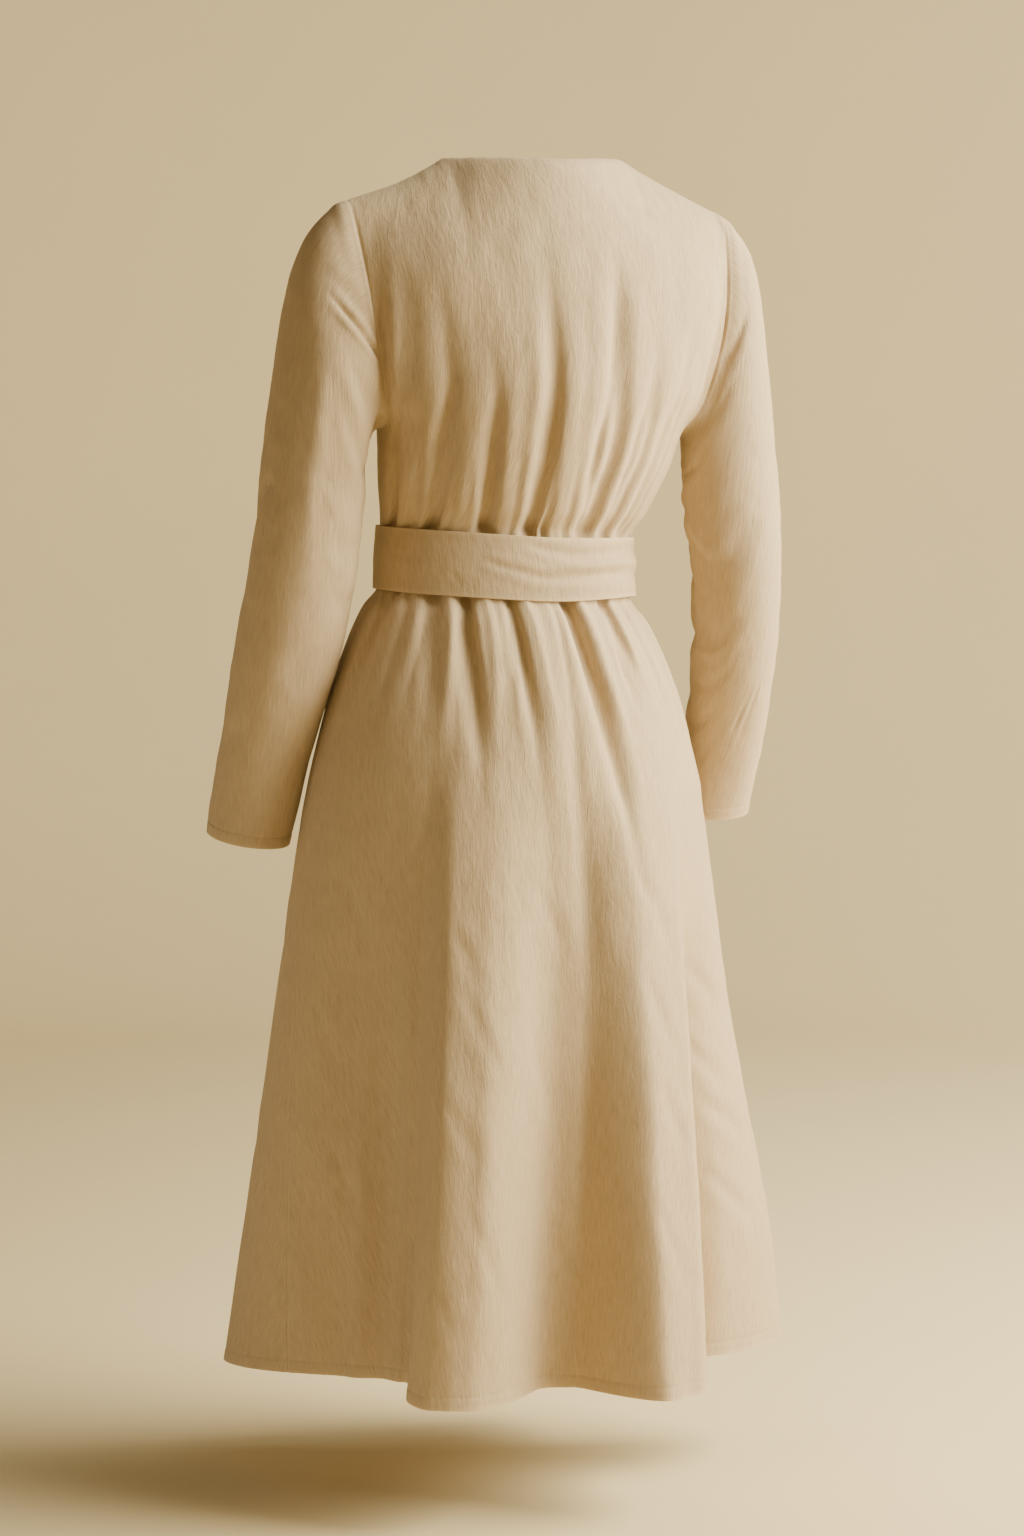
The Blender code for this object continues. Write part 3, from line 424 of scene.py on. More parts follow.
LEFT_SLEEVE_CREASES = table(
    Crease,
    (-30, -0.012, 36, 0.148, 0.0042, 0.0042, 0.003),
    (-24, 0.012, 30, 0.16, 0.007, -0.001, 0.003),
    (-20, -0.012, 40, 0.118, 0.012, 0.0016, 0.003),
    (10, 0.02, 46, 0.11, 0.014, -0.001, 0),
    (-50, 0.04, 0, 0.19, 0.01, 0.0022, -0.002),
    (-54, 0.085, 4, 0.25, 0.011, -0.0012, -0.002),
    (-66, 0.095, 2, 0.31, 0.012, 0.0022, -0.003),
    (-60, 0.17, 10, 0.35, 0.013, -0.0012, -0.003),
    (-80, 0.02, -60, 0.14, 0.009, 0.004, 0),
    (-72, 0.2, -30, 0.3, 0.008, 0.0022, 0.002),
    (-76, 0.3, -40, 0.35, 0.008, 0.0018, -0.002),
    (16, 0.24, 22, 0.64, 0.02, -0.0024, 0.003),
    (-6, 0.43, 18, 0.475, 0.008, 0.0008, 0.001),
    (-8, 0.48, 14, 0.52, 0.008, 0.0008, 0.001),
    (-60, 0.52, -10, 0.57, 0.01, 0.0024, 0.003),
    (-70, 0.61, -20, 0.64, 0.01, 0.0022, -0.002),
    (-40, 0.7, 20, 0.76, 0.011, 0.0018, 0.003),
    (60, 0.48, 110, 0.56, 0.011, 0.0024, 0.003),
    (130, 0.06, 170, 0.16, 0.009, 0.0036, 0.003),
    (150, 0.16, 210, 0.23, 0.01, 0.0032, -0.003),
    (170, 0.42, 240, 0.5, 0.011, 0.0034, 0.003),
    (160, 0.54, 235, 0.57, 0.011, 0.003, -0.003),
    (180, 0.64, 240, 0.7, 0.011, 0.0024, 0.002),
    (30, 0.82, 80, 0.86, 0.011, 0.0014, 0.002),
)
RIGHT_SLEEVE_CREASES = table(
    Crease,
    (-94, 0.428, -14, 0.535, 0.009, -0.0022, 0.002),
    (-96, 0.458, -14, 0.566, 0.0085, 0.0018, 0.003),
    (-100, 0.5, -4, 0.61, 0.034, 0.0036, 0.003),
    (-140, 0.372, -84, 0.352, 0.012, 0.0022, 0.002),
    (-138, 0.448, -82, 0.425, 0.01, 0.003, 0.002),
    (-142, 0.54, -88, 0.53, 0.011, 0.0034, 0.002),
    (-140, 0.606, -86, 0.612, 0.009, 0.0026, -0.002),
    (-140, 0.7, -82, 0.69, 0.012, 0.003, 0.002),
    (-136, 0.79, -80, 0.77, 0.012, 0.0018, 0.002),
    (-88, 0.655, -16, 0.69, 0.016, 0.002, 0),
    (-86, 0.712, -14, 0.672, 0.006, -0.0018, 0),
    (-90, 0.765, -18, 0.725, 0.009, 0.0026, 0.002),
    (14, 0.76, -6, 0.85, 0.007, 0.001, 0.001),
    (-2, 0.78, -22, 0.86, 0.008, 0.0009, 0.001),
    (-88, 0.15, -86, 0.8, 0.026, 0.006, 0),
    (-90, 0.32, -44, 0.3, 0.009, 0.0026, 0.002),
    (-90, 0.83, -40, 0.8, 0.009, 0.0018, 0.001),
    (-30, 0.03, 26, 0.13, 0.01, 0.0026, 0.004),
    (-56, 0.08, -16, 0.22, 0.01, 0.0024, 0.002),
    (60, 0.5, 110, 0.56, 0.011, 0.0024, 0.003),
    (130, 0.06, 170, 0.16, 0.009, 0.0036, 0.003),
    (150, 0.16, 210, 0.23, 0.01, 0.0032, -0.003),
    (170, 0.42, 240, 0.5, 0.011, 0.0034, 0.003),
    (160, 0.54, 235, 0.57, 0.011, 0.003, -0.003),
    (180, 0.64, 240, 0.7, 0.011, 0.0024, 0.002),
)
BELT_CREASES = table(
    Crease,
    (82, 0.88, 118, 0.69, 0.0065, 0.0022, 0.001),
    (98, 0.72, 178, 0.78, 0.007, 0.0034, 0.001),
    (62, 0.6, 98, 0.34, 0.006, 0.0016, 0.001),
    (80, 0.36, 182, 0.34, 0.007, 0.0034, -0.001),
    (90, 0.54, 176, 0.58, 0.006, -0.002, 0),
    (50, 0.44, 56, 0.1, 0.004, 0.0008, 0),
    (14, 0.6, 44, 0.52, 0.005, 0.0008, 0.001),
    (170, 0.3, 216, 0.42, 0.005, 0.0014, 0.001),
    (186, 0.72, 232, 0.66, 0.005, 0.0014, 0.001),
    (242, 0.8, 282, 0.6, 0.0045, 0.0024, 0.001),
    (236, 0.24, 282, 0.42, 0.0045, 0.0024, -0.001),
    (250, 0.52, 282, 0.51, 0.004, 0.002, 0),
    (290, 0.6, 330, 0.8, 0.0045, 0.0024, 0.001),
    (290, 0.42, 334, 0.22, 0.0045, 0.0024, -0.001),
    (290, 0.5, 318, 0.52, 0.004, 0.002, 0),
)
CREASE_SHOULDER = 0.30
SHOULDER_LIMIT = 0.0012
CREASE_PINCH = 1.3
CREASE_WIDENS = (0.8, 1.2)
CREASE_RISE = 0.25
CREASE_FADE = 0.45

# Loose surface of the cloth: grain size, height, and how much longer it is than wide
Crinkle = namedtuple("Crinkle", "size height stretch seed")
CLOTH_CRINKLES = table(
    Crinkle,
    (0.055, 0.0011, 1.8, 11),
    (0.024, 0.0007, 2.2, 12),
    (0.011, 0.0003, 2.2, 13),
)
BELT_CRINKLES = table(
    Crinkle,
    (0.04, 0.0008, 0.5, 21),
    (0.012, 0.00025, 0.7, 22),
)
NOISE_CELLS = 32
COVERED_CRINKLE = 0.4

# Edges and seams
SEAM_PINCH = 0.004
SEAM_PUFF = 0.0005
SEAM_PUFF_AT = 0.0030
# Seams and free edges are painted lighter: rubbed wear and a painted highlight where the rim catches the light
SEAM_WEAR_AND_HIGHLIGHT = 0.4
TURN_RISE = 0.0003
TURN_SOFTNESS = 0.0020
GROOVE_DEPTH = 0.0004
GROOVE_PAST_HEM = 0.0002
GROOVE_WIDTH = 0.0022
FRONT_EDGE_RISE = 0.0016
FRONT_EDGE_REACH = 0.012
SKIRT_EDGE_RISE = 0.0022
SKIRT_EDGE_REACH = 0.014
CAP_ROLL = 0.0018
CAP_ROLL_AT = 0.0120
CAP_ANGLE = 80.0
CAP_REACH = 75.0
EASING_FROM = 0.24
EASING_RISE = 0.08
EASING_TO = 0.56
EASING_FADE = 0.12
EASING_ROUNDS = 70
EDGE_RADIUS = 0.0005
BELT_EDGE_RADIUS = 0.0010
# Reach of the lighter band along free edges: rubbed wear and painted highlight
EDGE_WEAR_AND_HIGHLIGHT_REACH = 0.005
EDGE_STEPS = (0.0, 0.0008, 0.0018, 0.0034)
HEM_STEPS = (0.0, 0.0008, 0.0018, 0.0034, 0.0060, 0.0090, 0.0110, 0.0122, 0.0134, 0.0150, 0.0180)
BODICE_SPACING = 0.84
SKIRT_DROP_SPACING = 1.25

# Camera: level with the belt's back, looking slightly down
CAMERA_PLACE = (1.2313, 3.3829, -0.395)
CAMERA_DISTANCE = 3.6
CAMERA_AZIMUTH = 160.0
AIM_RIGHT = -0.010
AIM_UP = -0.188
CAMERA_LENS = 84.375
CAMERA_SENSOR = 36.0
FLOOR_Z = -1.305


def smooth_step(value, low=0.0, high=1.0):
    """Ease from 0 at a low value to 1 at a high one."""
    share = np.clip((value - low) / (high - low), 0.0, 1.0)
    return share * share * (3.0 - 2.0 * share)


def mix(low, high, share):
    return low + (high - low) * share


def bump(distance):
    """A soft hump, 1 in the middle and 0 from a distance of 1 outwards."""
    return 0.5 + 0.5 * np.cos(np.pi * np.clip(distance, -1.0, 1.0))


def vector(x, y, z):
    return np.stack(np.broadcast_arrays(x, y, z), axis=-1).astype(float)


def unit(values):
    return values / np.maximum(np.linalg.norm(values, axis=-1, keepdims=True), 1e-12)


def read_table(rows, position):
    """A row at any place between a table's rows, on a smooth curve through each of its columns."""
    keys = np.array([row[0] for row in rows])
    before = np.maximum(np.arange(len(keys)) - 1, 0)
    after = np.minimum(np.arange(len(keys)) + 1, len(keys) - 1)
    position = np.clip(position, keys[0], keys[-1])
    k = np.clip(np.searchsorted(keys, position, side="right") - 1, 0, len(keys) - 2)
    step = keys[k + 1] - keys[k]
    t = (position - keys[k]) / step
    columns = []
    for values in np.array(rows).T[1:]:
        slopes = (values[after] - values[before]) / (keys[after] - keys[before])
        start = (1.0 + 2.0 * t) * (1.0 - t) ** 2 * values[k] + t * (1.0 - t) ** 2 * step * slopes[k]
        end = t * t * (3.0 - 2.0 * t) * values[k + 1] - t * t * (1.0 - t) * step * slopes[k + 1]
        columns.append(start + end)
    return type(rows[0])(position, *columns)


def waist_rise(x, y):
    """How far the tipped waist plane stands above its middle."""
    return WAIST_TIP_SIDEWAYS * (x - WAIST_X) + WAIST_TIP_BACK * (y - WAIST_Y)


def ring_place(angle, half_width, half_depth):
    """A place on a level ring round the waist's middle, and the way out of it."""
    turn = np.radians(angle)
    out = unit(vector(np.cos(turn) / half_width, np.sin(turn) / half_depth, 0.0))
    return WAIST_X + half_width * np.cos(turn), WAIST_Y + half_depth * np.sin(turn), out


def bodice_height(share, underarm, top):
    """Height along a column: even below the underarm, and eased round the armhole above it."""
    turn = np.clip((share - UNDERARM_SHARE) / (1.0 - UNDERARM_SHARE), 0.0, 1.0)
    low = mix(WAIST_Z, underarm, share / UNDERARM_SHARE)
    high = mix(underarm, top, 0.5 - 0.5 * np.cos(np.pi * turn))
    return np.where(share <= UNDERARM_SHARE, low, high)


def top_line(side, across):
    """The top edge of a bodice sheet: a shoulder seam on each side and the neck between them."""
    row = side.rows[-1]
    span = math.radians(row.span)
    reach = np.abs(across)
    curve = np.clip(reach / NECK_SHARE, 0.0, 1.0) ** 2
    neck = vector(
        row.half_width * np.sin(across * span) / math.sin(span),
        mix(side.neck_y, NECK_SIDE_Y, curve),
        mix(side.neck_z, NECK_SIDE_Z, curve),
    )
    neck_x = row.half_width * math.sin(NECK_SHARE * span) / math.sin(span)
    along = np.clip((reach - NECK_SHARE) / (1.0 - NECK_SHARE), 0.0, 1.0)
    shoulder = vector(
        np.where(across >= 0.0, 1.0, -1.0) * mix(neck_x, row.half_width, along),
        mix(NECK_SIDE_Y, SHOULDER_TIP_Y, along),
        mix(NECK_SIDE_Z, SHOULDER_TIP_Z, along) - SHOULDER_SAG * np.sin(np.pi * along),
    )
    line = np.where((reach <= NECK_SHARE)[..., None], neck, shoulder)
    line[..., 0] += row.x_mid
    settled = smooth_step(across, -NECK_SHARE, 0.0) * smooth_step(1.0 - across, 0.0, NECK_SETTLE_FADE)
    line[..., 2] -= NECK_SETTLE * settled
    return line


def bodice_arc(side, across, share):
    """A point of the plain bodice sheet, and the way out of it."""
    row = read_table(side.rows, share)
    span = np.radians(row.span)
    bulge = (np.cos(across * span) - np.cos(span)) / (1.0 - np.cos(span))
    x = row.x_mid + row.half_width * np.sin(across * span) / np.sin(span)
    y = mix(row.y_side, row.y_mid, bulge)
    z_side = bodice_height(share, UNDERARM_SIDE_Z, SHOULDER_TIP_Z)
    z_mid = bodice_height(share, UNDERARM_MID_Z, side.neck_z)
    z = mix(z_side, z_mid, 1.0 - across * across)
    z = z + waist_rise(x, y) * (1.0 - smooth_step(share, 0.0, UNDERARM_SHARE))
    depth = np.abs(row.y_mid - row.y_side)
    out = vector(np.sin(across * span) / row.half_width, side.facing * np.cos(across * span) / depth, 0.0)
    return vector(x, y, z), unit(out)


def bodice_folds(folds, across, share):
    """How far the gathers draw the sheet in."""
    rise = smooth_step(share, BODICE_FOLD_FROM, BODICE_FOLD_FULL)
    total = 0.0
    for fold in folds:
        middle = mix(fold.across_low, fold.across_high, np.minimum(share / fold.reach, 1.0))
        fade = 1.0 - smooth_step(share / fold.reach, BODICE_FOLD_FADES_FROM)
        total = total - fold.depth * rise * fade * bump((across - middle) / fold.half_width)
    return total


def bodice_point(side, across, share, inward=0.0):
    """A point of a bodice sheet, across from -1 (right) to 1 (left), along from the waist (0) to the top (1)."""
    point, out = bodice_arc(side, across, share)
    top_arc, _ = bodice_arc(side, across, np.ones_like(share))
    point = point + (top_line(side, across) - top_arc) * smooth_step(share, NECK_BLEND_FROM)[..., None]
    return point + out * (bodice_folds(side.folds, across, share) - inward)[..., None]


def flute_reach(angle, drop):
    """How far the flutes carry the skirt out or in at an angle."""
    turned = np.clip((drop - FLUTES_FROM) / (SKIRT_LENGTH - FLUTES_FROM), 0.0, 1.0)
    places = []
    for flute in FLUTES:
        grown = np.clip((drop - flute.start) / (flute.full - flute.start), 0.0, 1.0)
        places.append((mix(flute.angle_hip, flute.angle_hem, turned), flute.reach * grown ** FLUTE_GROWTH))
    places = [(places[-1][0] - 360.0, places[-1][1])] + places + [(places[0][0] + 360.0, places[0][1])]
    total = 0.0
    for (low, low_reach), (high, high_reach) in zip(places, places[1:]):
        between = mix(low_reach, high_reach, smooth_step(angle, low, high))
        total = np.where((angle >= low) & (angle <= high), between, total)
    return total


def skirt_gathers(angle, drop):
    """How far the gathers under the belt draw the skirt in."""
    rise = smooth_step(drop, SKIRT_FOLD_FROM, SKIRT_FOLD_FULL)
    total = 0.0
    for fold in SKIRT_FOLDS:
        share = drop / fold.end_drop
        middle = mix(fold.angle_top, fold.angle_low, np.minimum(share, 1.0))
        away = (angle - middle + 180.0) % 360.0 - 180.0
        fade = 1.0 - smooth_step(share, SKIRT_FOLD_FADES_FROM)
        total = total - fold.depth * rise * fade * bump(away / fold.half_width)
    return total


def skirt_point(angle, drop, inward=0.0):
    """A point of the skirt, by the ring's angle and the drop below the waist seam."""
    row = read_table(SKIRT_ROWS, drop)
    x, y, out = ring_place(angle, row.half_width, row.half_depth)
    tip = 1.0 - smooth_step(drop / SKIRT_LENGTH, 0.0, WAIST_TIP_FADES_BY)
    point = vector(x, y, mix(WAIST_Z, HEM_Z, drop / SKIRT_LENGTH) + waist_rise(x, y) * tip)
    turn = np.radians(angle)
    radial = vector(np.cos(turn), np.sin(turn), 0.0)
    reach = flute_reach(angle % 360.0, drop)
    return point + radial * reach[..., None] + out * (skirt_gathers(angle, drop) - inward)[..., None]


def armhole_point(side, angle):
    """The armhole seam, round from the underarm (-90) over the back (0) and the shoulder (90) to the front."""
    across = np.full_like(angle, side)
    over_back = bodice_point(BACK, across, mix(UNDERARM_SHARE, 1.0, np.clip((angle + 90.0) / 180.0, 0.0, 1.0)))
    over_front = bodice_point(FRONT, across, mix(1.0, UNDERARM_SHARE, np.clip((angle - 90.0) / 180.0, 0.0, 1.0)))
    return np.where((angle <= 90.0)[..., None], over_back, over_front)


def sleeve_ring(rows, side, angle, share):
    """A plain sleeve section: an ellipse between the cap side and the underarm side."""
    row = read_table(rows, share)
    outer = vector(side * row.outer_x, row.y_mid, row.outer_z)
    inner = vector(side * row.inner_x, row.y_mid, row.inner_z)
    pitch = np.radians(row.pitch)
    depth = vector(0.0, np.cos(pitch), -np.sin(pitch)) * row.half_depth[..., None]
    turn = np.radians(angle)[..., None]
    return (outer + inner) / 2.0 + (outer - inner) / 2.0 * np.sin(turn) + depth * np.cos(turn)


def sleeve_point(rows, side, angle, share):
    """A point of a sleeve, blended from the armhole seam to its own sections."""
    start = sleeve_ring(rows, side, angle, np.zeros_like(share))
    blend = smooth_step(share, 0.0, CAP_BLEND_TO)[..., None]
    return sleeve_ring(rows, side, angle, share) + (armhole_point(side, angle) - start) * (1.0 - blend)


def belt_point(angle, share, outward):
    """A point of the belt, made from the waist ring, share 0 at its lower edge and 1 at its upper edge."""
    x, y, out = ring_place(angle, WAIST_HALF_WIDTH, WAIST_HALF_DEPTH)
    point = vector(x, y, WAIST_Z + waist_rise(x, y) + BELT_WIDTH * (share - 0.5))
    return point + out * np.asarray(outward + BELT_FLARE * (1.0 - share))[..., None]


def crumpled_belt_point(angle, share):
    """The belt as it sits: its right side is crumpled, so it is narrower and rides up there."""
    point = belt_point(angle, share, BELT_CLEARANCE + BELT_WALL)
    crumple = bump((angle - CRUMPLE_ANGLE) / CRUMPLE_REACH)
    point[..., 2] += crumple * mix(CRUMPLE_LOWER_EDGE, CRUMPLE_UPPER_EDGE, share)
    return point


def belt_end_point(end, across, along):
    """A point of a hanging end's outer face, made from the over skirt's points and moved out."""
    drop = mix(0.5 * KNOT_HEIGHT + KNOT_GAP, end.length, along)
    settled = smooth_step(drop - 0.5 * KNOT_HEIGHT, 0.0, BELT_END_SETTLE)
    width = mix(BELT_END_TOP_WIDTH, BELT_END_WIDTH, settled)
    per_degree = math.radians(1.0) * read_table(SKIRT_ROWS, drop).half_width
    middle = KNOT_ANGLE + end.swing * (drop / end.length) ** BELT_END_SWING_POWER
    angle = middle + 0.5 * width * across / per_degree
    seat = mix(BELT_CLEARANCE + BELT_WALL + 0.5 * KNOT_DEPTH, BELT_END_LYING, settled)
    return skirt_point(angle, drop, skirt_gathers(angle, drop) - seat - end.layer - BELT_WALL)


def cloth_noise(place, seed):
    """Smooth noise from -1 to 1 through a space measured in its own grain."""
    table = np.random.default_rng(seed).uniform(-1.0, 1.0, (NOISE_CELLS, NOISE_CELLS, NOISE_CELLS))
    cell = np.floor(place).astype(int)
    ease = smooth_step(place - cell)
    total = np.zeros(place.shape[:-1])
    for corner in itertools.product((0, 1), repeat=3):
        weight = np.prod(np.where(corner, ease, 1.0 - ease), axis=-1)
        x, y, z = np.moveaxis((cell + corner) % NOISE_CELLS, -1, 0)
        total += weight * table[x, y, z]
    return total


def spread(first, last, step, length, last_steps=EDGE_STEPS):
    """Places from first to last, a step of cloth apart, with closer ones beside both edges."""
    even = np.linspace(0.0, length, max(round(length / step), 4) + 1)
    low = list(EDGE_STEPS)
    high = [length - value for value in reversed(last_steps)]
    middle = [value for value in even if low[-1] + 0.5 * step < value < high[0] - 0.5 * step]
    return mix(first, last, np.array(low + middle + high) / length)


def run_lengths(points, axis):
    """Lengths of cloth along one way of a grid of points, from its first edge."""
    steps = np.linalg.norm(np.diff(points, axis=axis), axis=-1)
    return np.insert(np.cumsum(steps, axis=axis), 0, 0.0, axis=axis)


def cloth_mesh(name, points, faces, uv, wear):
    """A smooth mesh, with lengths as UV at its face corners and a mask of rubbed wear and painted highlight as an
    attribute.
    """
    mesh = bpy.data.meshes.new(name)
    mesh.from_pydata(points.tolist(), [], faces)
    mesh.uv_layers.new(name="cloth_uv").data.foreach_set("uv", uv.reshape(-1))
    mesh.attributes.new("wear", "FLOAT", "POINT").data.foreach_set("value", wear)
    mesh.shade_smooth()
    return mesh


def ring_faces(rings, segments, first=0):
    """Faces between closed rings of points, each ring after the one before it."""
    faces = []
    for low in range(first, first + (rings - 1) * segments, segments):
        for k in range(segments):
            after = (k + 1) % segments
            faces.append((low + k, low + segments + k, low + segments + after, low + after))
    return faces


class ClothPanel:
    """A cut panel laid out on a grid, with lengths in metres across (u) and along (v), and a lift off its form."""

    def __init__(self, name, across, along, place, facing, closed=False):
        self.name = name
        self.across, self.along = np.broadcast_arrays(across, along)
        self.points = place(self.across, self.along)
        self.facing = facing
        self.closed = closed
        self.measure()
        self.lift = np.zeros(self.u.shape)
        self.pin = np.ones(self.u.shape)
        # Mask of rubbed wear and painted highlight: how much lighter the cloth is painted along edges and seams
        self.wear = np.zeros(self.u.shape)

    def measure(self):
        """Lengths across and along the plain form, and the way out of it."""
        self.from_start = run_lengths(self.points, 1)
        self.width = self.from_start[:, -1:]
        self.to_end = self.width - self.from_start
        self.u = self.from_start - self.from_start[:, self.from_start.shape[1] // 2][:, None]
        self.v = self.to_top = run_lengths(self.points, 0)
        self.to_bottom = self.v[-1:] - self.v
        run_across = np.gradient(self.points, axis=1)
        if self.closed:
            before = np.concatenate([self.points[:, -2:-1], self.points[:, :-1]], axis=1)
            after = np.concatenate([self.points[:, 1:], self.points[:, 1:2]], axis=1)
            run_across = after - before
        self.out = unit(np.cross(run_across, np.gradient(self.points, axis=0))) * self.facing

    def spot(self, across, along):
        """Lengths across and along at a place given in the panel's own shares."""
        row = int(np.argmin(np.abs(self.along[:, 0] - along)))
        turns = math.floor((across - self.across[row, 0]) / 360.0) if self.closed else 0
        across = across - 360.0 * turns
        column = int(np.argmin(np.abs(self.across[row] - across)))
        u = np.interp(across, self.across[row], self.u[row]) + turns * self.width[row, 0]
        shares = self.along[:, column]
        beyond = (along - np.clip(along, shares[0], shares[-1])) / (shares[-1] - shares[0])
        return u, np.interp(along, shares, self.v[:, column]) + beyond * self.v[-1, column]

    def crease(self, crease, strength):
        """Press one crease into the cloth, or raise it as a ridge, with soft shoulders beside it."""
        u_from, v_from = self.spot(crease.across_from, crease.along_from)
        u_to, v_to = self.spot(crease.across_to, crease.along_to)
        length = math.hypot(u_to - u_from, v_to - v_from)
        run_u = (u_to - u_from) / length
        run_v = (v_to - v_from) / length
        away = self.u - u_from
        if self.closed:
            away = (away + 0.5 * self.width) % self.width - 0.5 * self.width
        t = (away * run_u + (self.v - v_from) * run_v) / length
        along = np.clip(t, 0.0, 1.0)
        bow = crease.bow * np.sin(np.pi * along)
        half_width = crease.width * mix(*CREASE_WIDENS, along)
        side = np.abs(away * run_v - (self.v - v_from) * run_u - bow) / half_width
        taper = smooth_step(t, 0.0, CREASE_RISE) * smooth_step(1.0 - t, 0.0, CREASE_FADE)
        shoulder = min(CREASE_SHOULDER, SHOULDER_LIMIT / abs(crease.depth))
        profile = bump(side) ** CREASE_PINCH - shoulder * bump(side - 1.5)
        self.lift -= strength * crease.depth * taper * profile

    def press(self, measures, creases, crinkles=CLOTH_CRINKLES, covered_to=None):
        """Creases and crinkle: weaker on a panel under another one, with no crease up to where that one ends."""
        for crease in creases:
            if covered_to is None or crease.across_from > covered_to:
                self.crease(crease, measures.crease)
        strength = measures.crinkle * (1.0 if covered_to is None else COVERED_CRINKLE)
        for crinkle in crinkles:
            if self.closed:
                place = self.points / crinkle.size
            else:
                place = vector(self.u / crinkle.size, self.v / (crinkle.size * crinkle.stretch), crinkle.seed)
            self.lift += strength * crinkle.height * cloth_noise(place, crinkle.seed + len(self.name))

    def sew(self, *seams, where=1.0):
        """Hold the panel on its form along seams, given as distances from them, let it puff and paint it lighter
        beside them: rubbed wear and a painted highlight.
        """
        for distance in seams:
            self.pin *= 1.0 - (1.0 - smooth_step(distance, 0.0, SEAM_PINCH)) * where
            self.lift += SEAM_PUFF * bump((distance - SEAM_PUFF_AT) / SEAM_PUFF_AT) * where
            self.wear = np.maximum(self.wear, SEAM_WEAR_AND_HIGHLIGHT * bump(2.0 * distance / SEAM_PUFF_AT - 1.0) * where)

    def finish_edge(self, *edges, where=1.0):
        """Paint free edges lighter, given as distances from them: rubbed wear and a painted highlight of the rim."""
        for distance in edges:
            self.wear = np.maximum(self.wear, bump(distance / EDGE_WEAR_AND_HIGHLIGHT_REACH) * where)

    def turn_up(self, distance, hem):
        """A turned-up hem: a double edge and the groove where it is sewn."""
        self.lift += TURN_RISE * (1.0 - smooth_step(distance - hem + TURN_SOFTNESS, 0.0, TURN_SOFTNESS))
        self.lift -= GROOVE_DEPTH * bump((distance - hem - GROOVE_PAST_HEM) / GROOVE_WIDTH)
        self.finish_edge(distance)

    def surface(self):
        """The finished outer face."""
        return self.points + self.out * (self.lift * self.pin)[..., None]

    def mesh(self):
        """The outer face as a mesh."""
        rows, columns = self.u.shape
        kept = columns - 1 if self.closed else columns
        row, column = np.meshgrid(np.arange(rows - 1), np.arange(columns - 1), indexing="ij")
        corners = [(row, column), (row, column + 1), (row + 1, column + 1), (row + 1, column)]
        if self.facing < 0.0:
            corners.reverse()
        faces = np.stack([r * kept + c % kept for r, c in corners], axis=-1).reshape(-1, 4)
        uv = np.stack([np.stack([self.u[r, c], self.v[r, c]], axis=-1) for r, c in corners], axis=2)
        points = self.surface()[:, :kept].reshape(-1, 3)
        return cloth_mesh(self.name, points, faces.tolist(), uv, self.wear[:, :kept].reshape(-1))


def take_place(piece, node):
    """Put a finished piece in the scene, on the body, in place of its CAD node."""
    bpy.context.scene.collection.objects.link(piece)
    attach(piece, BODY)
    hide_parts(node)


def hang_panel(panel, node, material, wall, radius=EDGE_RADIUS):
    """Give a panel its wall and rounded rims, and set it in place of its CAD node."""
    mesh = panel.mesh()
    mesh.materials.append(material)
    piece = bpy.data.objects.new(panel.name, mesh)
    solidify = piece.modifiers.new("cloth wall", "SOLIDIFY")
    solidify.thickness = wall
    solidify.offset = -1.0
    solidify.use_even_offset = False
    bevel = piece.modifiers.new("rounded rims", "BEVEL")
    bevel.width = radius
    bevel.segments = 2
    bevel.limit_method = "ANGLE"
    bevel.angle_limit = math.radians(65.0)
    take_place(piece, node)
    return piece


def even_shares(side, places):
    """Shares up a bodice sheet that lie at even lengths of cloth, for places from 0 to 1."""
    dense = np.linspace(0.0, 1.0, 1201)[:, None]
    lines = bodice_point(side, np.array([[-0.6, 0.0, 0.6]]) + 0.0 * dense, dense + np.zeros((1, 3)))
    steps = np.linalg.norm(np.diff(lines, axis=0), axis=-1).mean(axis=1)
    length = np.concatenate([[0.0], np.cumsum(steps)])
    return np.interp(places * length[-1], length, dense[:, 0])[:, None]


def ease_underarm(panel):
    """Ease the level where the armholes begin, which a grid this fine would show as a ledge across the sheet."""
    begins = smooth_step(panel.along - EASING_FROM, 0.0, EASING_RISE)
    zone = begins * smooth_step(EASING_TO - panel.along, 0.0, EASING_FADE)
    weight = 0.5 * (zone * (1.0 - np.abs(panel.across) ** 6))[1:-1, :, None]
    for _ in range(EASING_ROUNDS):
        points = panel.points
        middle = 0.5 * (points[2:] + points[:-2])
        points[1:-1] += weight * (middle - points[1:-1])
    panel.measure()


def edge_shares(share, top, bottom):
    """Where a wrap edge crosses each row: the edge is straight from the neck to the waist, seen from the front."""
    low = np.full_like(share, -1.0)
    high = np.full_like(share, 1.0)
    run = bottom - top
    for _ in range(30):
        middle = 0.5 * (low + high)
        point = bodice_point(FRONT, middle, share)
        past = (point[..., 0] - top[0]) * -run[2] + (point[..., 2] - top[2]) * run[0] > 0.0
        low = np.where(past, low, middle)
        high = np.where(past, middle, high)
    return 0.5 * (low + high)


